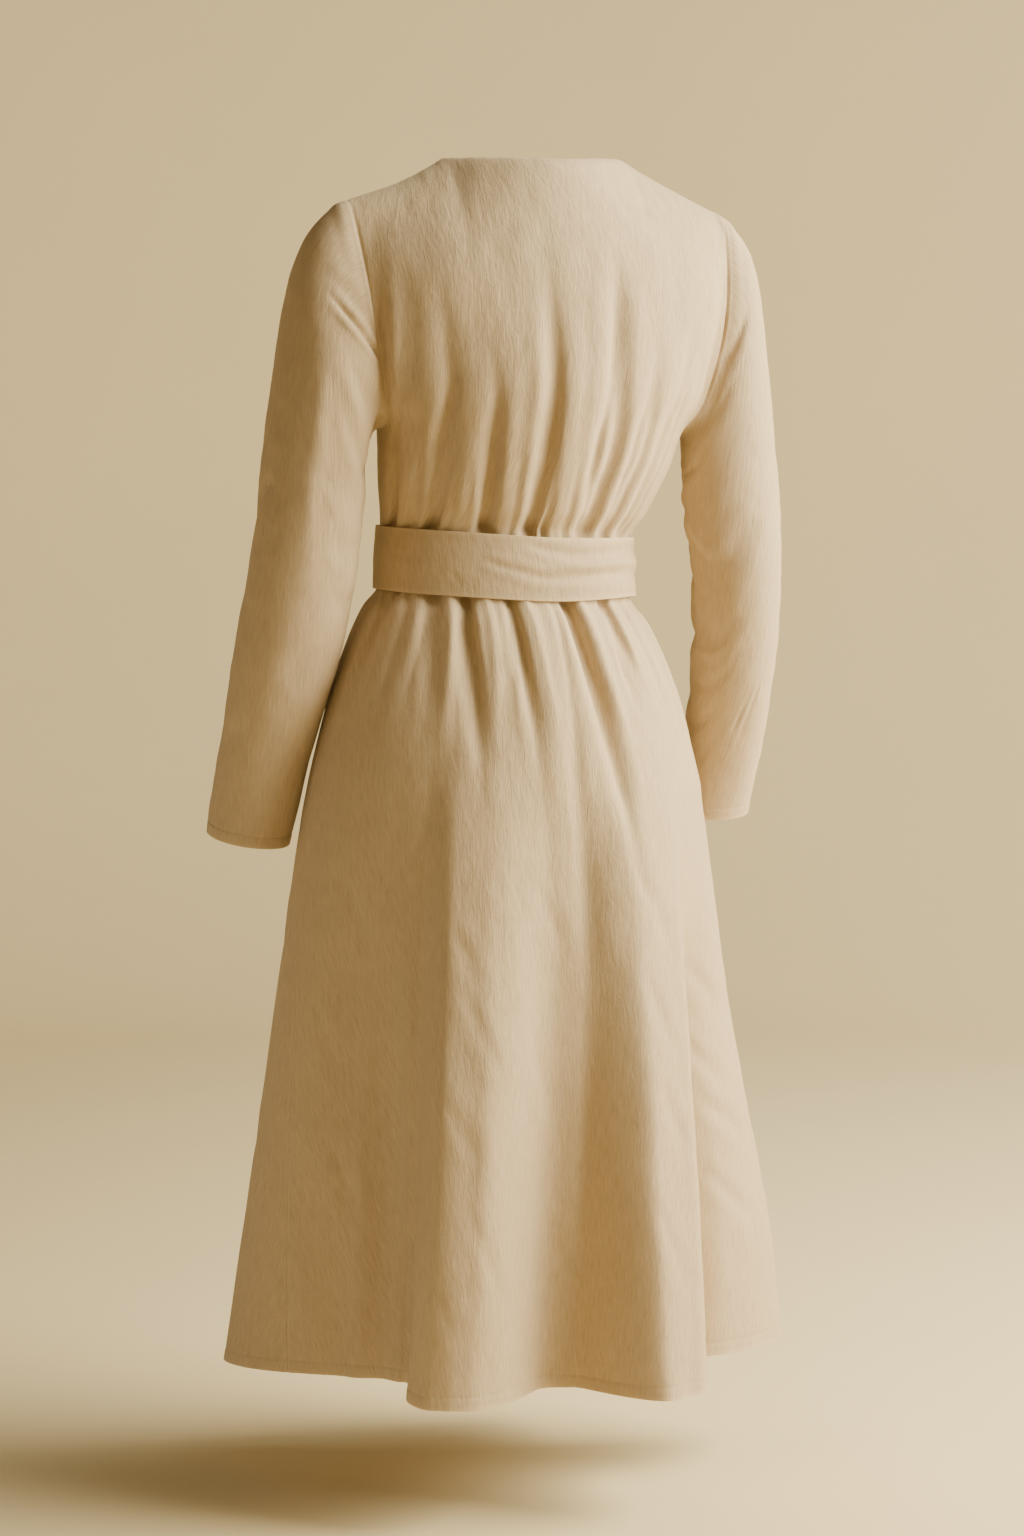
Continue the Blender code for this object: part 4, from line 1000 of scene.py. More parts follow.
def build_bodice(measures, material):
    """The gathered back and the two wrapped fronts."""
    grid = BODICE_SPACING * measures.grid
    rows = spread(0.0, 1.0, grid, 0.42)
    across = spread(-1.0, 1.0, grid, 0.43)[None, :]
    back = ClothPanel("back_bodice", across, even_shares(BACK, rows), lambda a, s: bodice_point(BACK, a, s), -1.0)
    ease_underarm(back)
    back.press(measures, BACK_CREASES)
    back.sew(back.from_start, back.to_end, back.to_top)
    on_shoulder = smooth_step(np.abs(back.across) - NECK_SHARE + 0.01, 0.0, 0.02)
    back.sew(back.to_bottom, where=on_shoulder)
    back.finish_edge(back.to_bottom, where=1.0 - on_shoulder)
    pieces = [hang_panel(back, "bodice_back", material, measures.wall)]

    neck = bodice_point(FRONT, np.array([-NECK_SHARE, NECK_SHARE]), np.ones(2))
    waist = bodice_point(FRONT, np.array([WRAP_EDGE_AT_WAIST, -WRAP_EDGE_AT_WAIST]), np.zeros(2))
    run = spread(0.0, 1.0, grid, 0.34)[None, :]
    share = even_shares(FRONT, rows)
    for name, node, over, top, bottom in (
        ("over_front_bodice", "bodice_front_right", True, neck[0], waist[0]),
        ("under_front_bodice", "bodice_front_left", False, neck[1], waist[1]),
    ):
        edge = edge_shares(share, top, bottom)

        def place(a, s, lap=0.0 if over else UNDERLAP):
            fade = 1.0 - smooth_step(s, UNDERLAP_FADES_FROM)
            return bodice_point(FRONT, a, s, lap * smooth_step(1.0 - a, 0.0, UNDERLAP_SHARE) * fade)

        front = ClothPanel(name, mix(-1.0, edge, run) if over else mix(edge, 1.0, run), share, place, 1.0)
        ease_underarm(front)
        front.press(measures, FRONT_CREASES, covered_to=None if over else 0.0)
        seam, free = (front.from_start, front.to_end) if over else (front.to_end, front.from_start)
        front.sew(seam, front.to_top, front.to_bottom)
        if over:
            front.lift += FRONT_EDGE_RISE * bump(free / FRONT_EDGE_REACH)
        front.turn_up(free, measures.edge_turn)
        pieces.append(hang_panel(front, node, material, measures.wall))
    return pieces


def build_skirt(measures, material):
    """The back panel and the two wrapped fronts."""
    drop = spread(0.0, SKIRT_LENGTH, measures.grid * SKIRT_DROP_SPACING, SKIRT_LENGTH, HEM_STEPS)[:, None]
    pieces = []
    for name, node, start, stop, width, spacing, creases, covered_to in (
        ("back_skirt", "skirt_back", 0.0, 180.0, 0.80, 1.2, BACK_SKIRT_CREASES, None),
        ("over_front_skirt", "skirt_front_right", 180.0, OVER_EDGE_ANGLE, 0.56, 1.2, FRONT_SKIRT_CREASES, None),
        ("under_front_skirt", "skirt_front_left", UNDER_EDGE_ANGLE, 360.0, 0.50, 1.6, FRONT_SKIRT_CREASES,
         OVER_EDGE_ANGLE),
    ):
        def place(a, d, lap=UNDERLAP if covered_to else 0.0):
            return skirt_point(a, d, lap * smooth_step(360.0 - a, 0.0, UNDERLAP_ANGLE))

        angle = spread(start, stop, measures.grid * spacing, width)[None, :]
        panel = ClothPanel(name, angle, drop, place, -1.0)
        panel.press(measures, creases, covered_to=covered_to)
        panel.sew(panel.to_top)
        if not covered_to:
            panel.sew(panel.from_start)
        if name == "over_front_skirt":
            below_belt = smooth_step(panel.along - 0.05, 0.0, 0.2)
            panel.lift += SKIRT_EDGE_RISE * bump(panel.to_end / SKIRT_EDGE_REACH) * below_belt
            panel.turn_up(panel.to_end, measures.edge_turn)
        else:
            panel.sew(panel.to_end)
        if covered_to:
            panel.turn_up(panel.from_start, measures.edge_turn)
        panel.turn_up(panel.to_bottom, measures.hem)
        pieces.append(hang_panel(panel, node, material, measures.wall))
        HEMS.append(panel)
    return pieces


def build_sleeves(measures, material):
    """The two set-in sleeves."""
    grid = BODICE_SPACING * measures.grid
    share = spread(0.0, 1.0, grid, 0.64, HEM_STEPS)[:, None]
    angle = np.linspace(-90.0, 270.0, round(0.40 / grid) + 1)[None, :]
    pieces = []
    for name, node, rows, side, creases in (
        ("left_sleeve", "sleeve_left", LEFT_SLEEVE_ROWS, 1.0, LEFT_SLEEVE_CREASES),
        ("right_sleeve", "sleeve_right", RIGHT_SLEEVE_ROWS, -1.0, RIGHT_SLEEVE_CREASES),
    ):
        def place(a, s, rows=rows, side=side):
            return sleeve_point(rows, side, a, s)

        panel = ClothPanel(name, angle, share, place, side, closed=True)
        panel.press(measures, creases)
        panel.sew(panel.to_top)
        on_cap = bump((panel.across - CAP_ANGLE) / CAP_REACH)
        panel.lift += CAP_ROLL * bump(panel.to_top / CAP_ROLL_AT - 1.0) * on_cap
        panel.turn_up(panel.to_bottom, measures.hem)
        pieces.append(hang_panel(panel, node, material, measures.wall))
        HEMS.append(panel)
    return pieces


def knot_mesh(name):
    """The knot: a band of pleats from top to bottom over the belt's gathered sides."""
    rings, segments = 39, 56
    polar = np.linspace(0.0, math.pi, rings + 2)[1:-1, None]
    turn = np.linspace(0.0, 2.0 * math.pi, segments, endpoint=False)[None, :]
    ball = vector(np.sin(polar) * np.cos(turn), np.sin(polar) * np.sin(turn), np.cos(polar) + 0.0 * turn)
    ball = np.concatenate([ball.reshape(-1, 3), [[0.0, 0.0, 1.0], [0.0, 0.0, -1.0]]])
    squared = np.copysign(np.abs(ball) ** KNOT_SQUARENESS, ball)
    across = squared[:, 0] + KNOT_SLANT * squared[:, 2]
    past_band = np.abs(across) - KNOT_BAND
    band = 1.0 - smooth_step(past_band, 0.0, KNOT_BAND_FADE)
    pleats = KNOT_PLEAT * np.cos(across * 11.0 + 0.6 * squared[:, 2] ** 2)
    gathers = KNOT_GATHER * np.cos(squared[:, 2] * 10.5 + 1.4 * squared[:, 0])
    groove = KNOT_GROOVE * bump((np.abs(across) - KNOT_GROOVE_AT) / KNOT_GROOVE_REACH)
    lift = mix(gathers - KNOT_SIDES_SINK, pleats - KNOT_BAND_SINK, band) - groove
    lift = lift - KNOT_PINCH * bump(squared[:, 2] / 0.8) * band
    up = np.array([0.0, 0.0, 1.0])
    angle = np.array([KNOT_ANGLE])
    out = ring_place(angle, WAIST_HALF_WIDTH, WAIST_HALF_DEPTH)[2][0]
    along = np.array([out[1], -out[0], WAIST_TIP_SIDEWAYS * out[1] - WAIST_TIP_BACK * out[0]])
    seat = belt_point(angle, np.array([0.5]), BELT_CLEARANCE + BELT_WALL + KNOT_STANDS_OFF + 0.5 * KNOT_DEPTH)[0]
    lean = squared[:, 2] * KNOT_HEIGHT * BELT_FLARE / BELT_WIDTH
    reach = along * (squared[:, :1] * KNOT_WIDTH) + out * (squared[:, 1:2] * KNOT_DEPTH - lean[:, None])
    points = seat + 0.5 * (reach + up * (squared[:, 2:3] * KNOT_HEIGHT))
    normal = unit(along * ball[:, :1] + out * ball[:, 1:2] + up * ball[:, 2:3])
    points = points + normal * lift[:, None]
    faces = ring_faces(rings, segments)
    top, bottom = rings * segments, rings * segments + 1
    for k in range(segments):
        after = (k + 1) % segments
        faces.append((top, k, after))
        faces.append((bottom, top - segments + after, top - segments + k))
    if np.dot(np.cross(along, out), up) < 0.0:
        faces = [tuple(reversed(face)) for face in faces]
    flat_across = squared[:, 0] * 0.5 * KNOT_WIDTH + squared[:, 1] * 0.01
    flat = np.stack([flat_across, squared[:, 2] * 0.5 * KNOT_HEIGHT], axis=-1)
    corners = list(itertools.chain.from_iterable(faces))
    # The band's edges are painted lighter: rubbed wear and a painted highlight
    return cloth_mesh(name, points, faces, flat[corners], 0.5 * bump(past_band / 0.08))


def build_belt(measures, material):
    """The band round the waist, the knot and the two hanging ends."""
    share = spread(0.0, 1.0, BELT_GRID, BELT_WIDTH)[:, None]
    angle = np.linspace(0.0, 360.0, 240)[None, :]
    band = ClothPanel("belt", angle, share, crumpled_belt_point, 1.0, closed=True)
    band.press(measures, BELT_CREASES, BELT_CRINKLES)
    band.lift += BELT_ROLL * bump((band.along - 0.5) / 0.5)
    band.lift = np.maximum(band.lift, BELT_DEEPEST)
    band.finish_edge(band.to_top, band.to_bottom)
    belt = hang_panel(band, "belt_band", material, BELT_WALL, BELT_EDGE_RADIUS)
    mesh = knot_mesh("knot")
    mesh.materials.append(material)
    knot = bpy.data.objects.new("knot", mesh)
    take_place(knot, "belt_knot")
    ends = []
    for end in BELT_ENDS:
        across = spread(-1.0, 1.0, BELT_GRID, BELT_END_WIDTH)[None, :]
        along = spread(0.0, 1.0, BELT_END_GRID, end.length)[:, None]
        strip = ClothPanel(end.name, across, along, lambda a, s, end=end: belt_end_point(end, a, s), -1.0)
        opened = 1.0 - smooth_step(strip.along, 0.0, END_PLEATS_TO)
        strip.lift += END_PLEAT * opened * np.cos(strip.across * 7.0 + 1.2 * end.swing / 9.0)
        strip.press(measures, (), BELT_CRINKLES)
        strip.lift = np.maximum(strip.lift, BELT_DEEPEST)
        strip.finish_edge(strip.from_start, strip.to_end, strip.to_bottom)
        ends.append(hang_panel(strip, end.node, material, BELT_WALL, BELT_EDGE_RADIUS))
    return belt, knot, ends


def feed(tree, node, inputs):
    """Give a node its inputs, each a plain value or another node's output."""
    for label, value in inputs.items():
        if isinstance(value, bpy.types.NodeSocket):
            tree.links.new(value, node.inputs[label])
        else:
            node.inputs[label].default_value = value


def add_node(tree, kind, inputs=(), **settings):
    """A new node with its settings and its inputs."""
    node = tree.nodes.new(kind)
    for key, value in settings.items():
        setattr(node, key, value)
    feed(tree, node, dict(inputs))
    return node


def new_group(name, inputs, outputs, kind="ShaderNodeTree"):
    """A node group with named inputs and outputs, and what is given to it."""
    tree = bpy.data.node_groups.new(name, kind)
    for label, socket_type, value in inputs:
        socket = tree.interface.new_socket(name=label, in_out="INPUT", socket_type="NodeSocket" + socket_type)
        if value is not None:
            socket.default_value = value
    for label, socket_type in outputs:
        tree.interface.new_socket(name=label, in_out="OUTPUT", socket_type="NodeSocket" + socket_type)
    return tree, tree.nodes.new("NodeGroupInput").outputs, tree.nodes.new("NodeGroupOutput")


def stitch_tree():
    """A node tree that lays small stitches along its guide lines, flat on the cloth."""
    tree, given, result = new_group(
        "hem stitches",
        (
            ("Guide", "Geometry", None),
            ("Spacing", "Float", 0.006),
            ("Stitch length", "Float", 0.0032),
            ("Thread width", "Float", 0.0006),
            ("Thread", "Material", None),
        ),
        (("Stitches", "Geometry"),),
        "GeometryNodeTree",
    )
    for socket in tree.interface.items_tree:
        if socket.socket_type == "NodeSocketFloat":
            socket.subtype = "DISTANCE"

    def add(kind, inputs=(), **settings):
        return add_node(tree, kind, inputs, **settings).outputs

    curve = add("GeometryNodeMeshToCurve", {"Mesh": given["Guide"]})
    even = add("GeometryNodeResampleCurve", {"Curve": curve["Curve"], "Length": given["Spacing"]}, mode="LENGTH")
    ball = add("GeometryNodeMeshUVSphere", {"Segments": 6, "Rings": 4, "Radius": 0.5})
    width = given["Thread width"]
    size = add("ShaderNodeCombineXYZ", {"X": given["Stitch length"], "Y": width, "Z": width})
    shape = add("GeometryNodeTransform", {"Geometry": ball["Mesh"], "Scale": size["Vector"]})
    out = add("GeometryNodeInputNamedAttribute", {"Name": "stitch_out"}, data_type="FLOAT_VECTOR")
    tangent = add("GeometryNodeInputTangent")
    align = "FunctionNodeAlignRotationToVector"
    stand = add(align, {"Vector": out["Attribute"]}, axis="Z")
    follow = add(
        align, {"Rotation": stand["Rotation"], "Vector": tangent["Tangent"]}, axis="X", pivot_axis="Z"
    )
    repeat = add(
        "GeometryNodeInstanceOnPoints",
        {"Points": even["Curve"], "Instance": shape["Geometry"], "Rotation": follow["Rotation"]},
    )
    real = add("GeometryNodeRealizeInstances", {"Geometry": repeat["Instances"]})
    thread = add("GeometryNodeSetMaterial", {"Geometry": real["Geometry"], "Material": given["Thread"]})
    feed(tree, result, {"Stitches": thread["Geometry"]})
    return tree


def lay_stitches(panel, tree, material, measures):
    """Stitches along one hem, a turn-up's width above its edge."""
    name = panel.name + "_stitches"
    row = int(np.argmin(np.abs(panel.to_bottom[:, 0] - measures.hem)))
    line = panel.surface()[row] + panel.out[row] * 0.0001
    count = len(line) - 1 if panel.closed else len(line)
    edges = [(k, k + 1) for k in range(count - 1)]
    if panel.closed:
        edges.append((count - 1, 0))
    mesh = bpy.data.meshes.new(name)
    mesh.from_pydata(line[:count].tolist(), edges, [])
    out = mesh.attributes.new("stitch_out", "FLOAT_VECTOR", "POINT")
    out.data.foreach_set("vector", panel.out[row][:count].reshape(-1))
    piece = bpy.data.objects.new(name, mesh)
    bpy.context.scene.collection.objects.link(piece)
    modifier = piece.modifiers.new("stitches", "NODES")
    modifier.node_group = tree
    values = {"Spacing": measures.stitch_spacing, "Stitch length": measures.stitch_length, "Thread": material}
    for item in tree.interface.items_tree:
        if item.in_out == "INPUT" and item.name in values:
            modifier[item.identifier] = values[item.name]
    depsgraph = bpy.context.evaluated_depsgraph_get()
    piece_mesh = bpy.data.meshes.new_from_object(piece.evaluated_get(depsgraph))
    piece.modifiers.clear()
    piece.data = piece_mesh
    if not len(piece_mesh.polygons):
        raise RuntimeError(f"{name}: the tree laid no stitches")
    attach(piece, BODY)


def math_node(tree, operation, *values, clamp=False):
    """One Math node, whose values are numbers or other nodes' outputs."""
    return add_node(tree, "ShaderNodeMath", enumerate(values), operation=operation, use_clamp=clamp).outputs[0]


def stretched_noise(tree, place, scale, detail, roughness=0.5, distortion=0.0):
    """Noise whose grain has its own size in each direction."""
    stretch = add_node(tree, "ShaderNodeVectorMath", {0: place, 1: scale}, operation="MULTIPLY")
    inputs = {"Scale": 1.0, "Detail": detail, "Roughness": roughness, "Distortion": distortion}
    inputs["Vector"] = stretch.outputs["Vector"]
    return add_node(tree, "ShaderNodeTexNoise", inputs).outputs[0]


def weave_group(name):
    """Plain weave of uneven threads: its height, and the threads that are thicker than the rest."""
    inputs = (("Cloth", "Vector", None), ("Pitch", "Float", 0.0007))
    tree, given, result = new_group(name, inputs, (("Height", "Float"), ("Slubs", "Float")))
    place = given["Cloth"]
    wander = stretched_noise(tree, place, (160.0, 160.0, 1.0), 1.0)
    parts = add_node(tree, "ShaderNodeSeparateXYZ", {0: place}).outputs
    waves = []
    for axis in ("X", "Y"):
        turns = math_node(tree, "DIVIDE", parts[axis], given["Pitch"])
        turns = math_node(tree, "ADD", turns, math_node(tree, "MULTIPLY", wander, 1.6))
        waves.append(math_node(tree, "SINE", math_node(tree, "MULTIPLY", turns, math.pi)))
    crossing = math_node(tree, "MULTIPLY", *waves)
    height = math_node(tree, "ADD", math_node(tree, "MULTIPLY", crossing, 0.5), 0.5)
    upright = stretched_noise(tree, place, (800.0, 60.0, 1.0), 2.0)
    level = stretched_noise(tree, place, (60.0, 800.0, 1.0), 2.0)
    slubs = math_node(tree, "MAXIMUM", upright, math_node(tree, "MULTIPLY", level, 0.9))
    feed(tree, result, {"Height": height, "Slubs": slubs})
    return tree


def nap_group(name):
    """Brushed nap: upright streaks, a fine speckle, soft clouds and small crinkles."""
    outputs = [(label, "Float") for label in ("Streaks", "Speckle", "Clouds", "Crinkle")]
    tree, given, result = new_group(name, (("Cloth", "Vector", None), ("Place", "Vector", None)), outputs)
    cloth = given["Cloth"]
    feed(tree, result, {
        "Streaks": stretched_noise(tree, cloth, (620.0, 55.0, 1.0), 3.0, 0.6),
        "Speckle": stretched_noise(tree, cloth, (900.0, 900.0, 1.0), 2.0, 0.7),
        "Clouds": stretched_noise(tree, given["Place"], (17.0, 17.0, 11.0), 3.0),
        "Crinkle": stretched_noise(tree, cloth, (170.0, 55.0, 1.0), 4.0, 0.55, 0.6),
    })
    return tree


def wear_and_highlight_group(name):
    """Rubbed wear and a painted highlight along edges and seams, broken up by the nap."""
    inputs = (("Edge", "Float", 0.0), ("Grain", "Float", 0.5), ("Amount", "Float", 0.5))
    tree, given, result = new_group(name, inputs, (("Mask", "Float"),))
    broken = math_node(tree, "ADD", math_node(tree, "MULTIPLY", given["Grain"], 1.2), 0.2)
    mask = math_node(tree, "MULTIPLY", given["Edge"], broken)
    feed(tree, result, {"Mask": math_node(tree, "MULTIPLY", mask, given["Amount"], clamp=True)})
    return tree


def use_group(tree, name, maker, **inputs):
    """Place a shared group in a material, and build it first if there is none yet."""
    group = bpy.data.node_groups.get(name) or maker(name)
    return add_node(tree, "ShaderNodeGroup", inputs, node_tree=group).outputs


def tint(tree, factor, low, high):
    """A colour between two, by a factor."""
    inputs = {0: factor, 6: low, 7: high}
    return add_node(tree, "ShaderNodeMix", inputs, data_type="RGBA", clamp_factor=True).outputs[2]


def shade(colour, factor):
    return tuple(min(channel * factor, 1.0) for channel in colour[:3]) + (1.0,)


def new_material(name):
    material = bpy.data.materials.new(name)
    material.use_nodes = True
    return material, material.node_tree, material.node_tree.nodes["Principled BSDF"]


def cloth_material(name, colour, look):
    """The napped cloth, in one colour."""
    material, tree, shader = new_material(name)
    material.diffuse_color = tuple(colour[:3]) + (1.0,)
    uv = add_node(tree, "ShaderNodeUVMap", uv_map="cloth_uv").outputs["UV"]
    place = tree.nodes.new("ShaderNodeTexCoord").outputs["Object"]
    edge = add_node(tree, "ShaderNodeAttribute", attribute_name="wear").outputs["Fac"]
    weave = use_group(tree, "cloth weave", weave_group, Cloth=uv, Pitch=look.weave_pitch)
    nap = use_group(tree, "cloth nap", nap_group, Cloth=uv, Place=place)
    # Edges and seams painted lighter: rubbed wear and a painted highlight of the rims
    worn_and_highlit = use_group(tree, "cloth wear", wear_and_highlight_group, Edge=edge, Grain=nap["Speckle"], Amount=look.wear)

    def contrast(value, strength):
        moved = math_node(tree, "MULTIPLY", math_node(tree, "SUBTRACT", value, 0.5), strength)
        return math_node(tree, "ADD", moved, 0.5, clamp=True)

    base = tint(tree, contrast(nap["Streaks"], 2.6), shade(colour, 0.80), shade(colour, 1.16))
    for pattern, sharpness, strength, brightness in (
        (weave["Slubs"], 3.0, 0.30, 1.28),
        (nap["Speckle"], 2.4, 0.34, 0.70),
        (nap["Clouds"], 2.2, 0.16, 0.82),
    ):
        mask = math_node(tree, "MULTIPLY", contrast(pattern, sharpness), strength)
        base = tint(tree, mask, base, shade(colour, brightness))
    crinkle_inputs = {"Strength": 1.0, "Distance": look.crinkle_depth, "Height": nap["Crinkle"]}
    crinkle = add_node(tree, "ShaderNodeBump", crinkle_inputs).outputs["Normal"]
    height = math_node(tree, "ADD", math_node(tree, "MULTIPLY", weave["Height"], 0.5), nap["Streaks"])
    height = math_node(tree, "ADD", height, math_node(tree, "MULTIPLY", nap["Speckle"], 0.8))
    fine_inputs = {"Strength": 0.8, "Distance": look.weave_depth, "Height": height, "Normal": crinkle}
    # Base colour painted lighter by that mask: rubbed wear and painted highlight
    feed(tree, shader, {
        "Base Color": tint(tree, worn_and_highlit["Mask"], base, shade(colour, 1.30)),
        "Roughness": math_node(tree, "ADD", math_node(tree, "MULTIPLY", nap["Speckle"], 0.12), 0.84),
        "Specular IOR Level": 0.25,
        "Sheen Weight": look.sheen,
        "Sheen Roughness": 0.45,
        "Sheen Tint": (1.0, 0.88, 0.68, 1.0),
        "Normal": add_node(tree, "ShaderNodeBump", fine_inputs).outputs["Normal"],
    })
    return material


def thread_material(name, colour):
    """Sewing thread in the cloth's colour, with its twist."""
    material, tree, shader = new_material(name)
    place = tree.nodes.new("ShaderNodeTexCoord").outputs["Object"]
    twist = stretched_noise(tree, place, (2400.0, 2400.0, 900.0), 1.0)
    feed(tree, shader, {"Base Color": tint(tree, twist, shade(colour, 0.80), shade(colour, 1.18)), "Roughness": 0.75})
    return material


def paper_material(name, colour):
    """Seamless backdrop paper with a very faint tooth, clear from its outer side, so its wall hides nothing."""
    material, tree, shader = new_material(name)
    place = tree.nodes.new("ShaderNodeTexCoord").outputs["Object"]
    tooth = stretched_noise(tree, place, (3.0, 3.0, 3.0), 3.0)
    outer_side = tree.nodes.new("ShaderNodeNewGeometry").outputs["Backfacing"]
    feed(tree, shader, {
        "Base Color": tint(tree, tooth, shade(colour, 0.98), shade(colour, 1.02)),
        "Roughness": 0.95,
        "Specular IOR Level": 0.1,
        "Alpha": math_node(tree, "SUBTRACT", 1.0, outer_side),
    })
    return material


def dress_cloth():
    look = bpy.context.scene.cloth_look
    return bpy.data.materials.get("dress cloth") or cloth_material("dress cloth", look.dress_colour, look)


def belt_cloth():
    look = bpy.context.scene.cloth_look
    return bpy.data.materials.get("belt cloth") or cloth_material("belt cloth", look.belt_colour, look)


def build_backdrop(look):
    """A round sweep of paper: a floor that curves up into a wall all round."""
    radius, cove, height = 5.0, 1.4, 3.6
    profile = [(r, 0.0) for r in (0.6, 1.2, 1.8, 2.4, 3.0)]
    for k in range(13):
        turn = math.radians(90.0 * k / 12)
        profile.append((radius - cove + cove * math.sin(turn), cove - cove * math.cos(turn)))
    profile += [(radius, cove + (height - cove) * k / 4) for k in range(1, 5)]
    segments = 96
    points = [(0.0, 0.0, FLOOR_Z)]
    for reach, rise in profile:
        for k in range(segments):
            turn = 2.0 * math.pi * k / segments
            points.append((reach * math.cos(turn), reach * math.sin(turn), FLOOR_Z + rise))
    faces = [(0, 1 + k, 1 + (k + 1) % segments) for k in range(segments)]
    mesh = bpy.data.meshes.new("backdrop")
    mesh.from_pydata(points, [], faces + ring_faces(len(profile), segments, 1))
    mesh.shade_smooth()
    mesh.materials.append(paper_material("backdrop paper", look.paper_colour))
    backdrop = bpy.data.objects.new("backdrop", mesh)
    bpy.context.scene.collection.objects.link(backdrop)


def add_softbox(name, azimuth, elevation, distance, size, power, colour, aim):
    """A square soft light round the dress, by its azimuth as the camera's, that the camera doesn't see."""
    turn, rise = math.radians(azimuth), math.radians(elevation)
    way = Vector((math.sin(turn) * math.cos(rise), -math.cos(turn) * math.cos(rise), math.sin(rise)))
    light = bpy.data.lights.new(name, "AREA")
    light.shape = "SQUARE"
    light.size = size
    light.energy = power
    light.color = colour
    lamp = bpy.data.objects.new(name, light)
    lamp.location = Vector(aim) + way * distance
    lamp.rotation_euler = (-way).to_track_quat("-Z", "Y").to_euler()
    lamp.visible_camera = False
    bpy.context.scene.collection.objects.link(lamp)


def level_way(azimuth):
    """The level way in which a camera at an azimuth looks."""
    turn = math.radians(azimuth)
    return Vector((-math.sin(turn), math.cos(turn), 0.0))


def build_stage(look):
    """Backdrop, lights and the camera."""
    build_backdrop(look)
    front, low_front, wall = (0.0, 0.0, -0.55), (0.18, 0.06, -0.98), level_way(CAMERA_AZIMUTH - 20.0) * 4.6
    for name, azimuth, elevation, distance, size, power, colour, aim in (
        ("key light", 83.0, 27.0, 2.0, 1.8, look.key_power, (1.0, 0.895, 0.68), front),
        ("fill light", -72.0, 0.0, 1.2, 0.6, look.fill_power, (0.94, 0.97, 1.0), low_front),
        ("paper light", 18.0, 22.0, 3.2, 2.2, look.paper_power, (1.0, 0.95, 0.80), wall),
    ):
        add_softbox(name, CAMERA_AZIMUTH + azimuth, elevation, distance, size, power, colour, aim)
    world = bpy.data.worlds.new("studio")
    world.use_nodes = True
    sky = {"Color": (0.80, 0.90, 1.0, 1.0), "Strength": look.ambient}
    feed(world.node_tree, world.node_tree.nodes["Background"], sky)
    bpy.context.scene.world = world

    forward = level_way(CAMERA_AZIMUTH)
    right = Vector((forward.y, -forward.x, 0.0))
    aim = forward * CAMERA_DISTANCE + right * AIM_RIGHT + Vector((0.0, 0.0, AIM_UP))
    lens = bpy.data.cameras.new("photo camera")
    lens.sensor_fit = "VERTICAL"
    lens.sensor_height = CAMERA_SENSOR
    lens.lens = CAMERA_LENS
    camera = bpy.data.objects.new("photo camera", lens)
    camera.location = CAMERA_PLACE
    camera.rotation_euler = aim.to_track_quat("-Z", "Y").to_euler()
    bpy.context.scene.collection.objects.link(camera)
    bpy.context.scene.camera = camera


class DressMeasures(bpy.types.PropertyGroup):
    """Sizes of the dress that a user would change."""

    wall: FloatProperty(
        name="Cloth wall", description="Thickness of the cloth", default=0.0015, min=0.0005, max=0.003, unit="LENGTH"
    )
    hem: FloatProperty(
        name="Hem", description="Height of the turned-up hem and cuffs",
        default=0.0122, min=0.006, max=0.03, unit="LENGTH"
    )
    edge_turn: FloatProperty(
        name="Edge turn", description="Width of the turned wrap edges",
        default=0.0100, min=0.004, max=0.02, unit="LENGTH"
    )
    grid: FloatProperty(
        name="Grid", description="Spacing of the cloth's grid", default=0.0034, min=0.002, max=0.01, unit="LENGTH"
    )
    crease: FloatProperty(
        name="Creases", description="How deep the creases are pressed",
        default=1.0, min=0.0, max=2.0, subtype="FACTOR"
    )
    crinkle: FloatProperty(
        name="Crinkle", description="How crinkled the cloth's surface is",
        default=1.0, min=0.0, max=2.0, subtype="FACTOR"
    )
    stitch_spacing: FloatProperty(
        name="Stitch spacing", description="From one hem stitch to the next",
        default=0.0060, min=0.002, max=0.02, unit="LENGTH"
    )
    stitch_length: FloatProperty(
        name="Stitch length", description="Length of a hem stitch",
        default=0.0032, min=0.001, max=0.01, unit="LENGTH"
    )


class ClothLook(bpy.types.PropertyGroup):
    """Colour and surface of the cloth."""

    dress_colour: FloatVectorProperty(
        name="Dress", description="Colour of the dress cloth",
        default=(0.52, 0.405, 0.26), size=3, min=0.0, max=1.0, subtype="COLOR"
    )
    belt_colour: FloatVectorProperty(
        name="Belt", description="Colour of the belt cloth",
        default=(0.50, 0.385, 0.245), size=3, min=0.0, max=1.0, subtype="COLOR"
    )
    weave_pitch: FloatProperty(
        name="Weave pitch", description="From one thread to the next",
        default=0.0007, min=0.0003, max=0.003, unit="LENGTH"
    )
    weave_depth: FloatProperty(
        name="Weave depth", description="Height of the weave and the nap",
        default=0.00035, min=0.0, max=0.002, unit="LENGTH"
    )
    crinkle_depth: FloatProperty(
        name="Crinkle depth", description="Height of the small crinkles",
        default=0.0008, min=0.0, max=0.005, unit="LENGTH"
    )
    sheen: FloatProperty(
        name="Sheen", description="Soft shine of the nap at its edges",
        default=0.30, min=0.0, max=1.0, subtype="FACTOR"
    )
    # How strongly edges and seams are painted lighter: rubbed wear and a painted highlight
    wear: FloatProperty(
        name="Wear and highlight", description="How much the edges and seams are rubbed",
        default=0.6, min=0.0, max=1.0, subtype="FACTOR"
    )


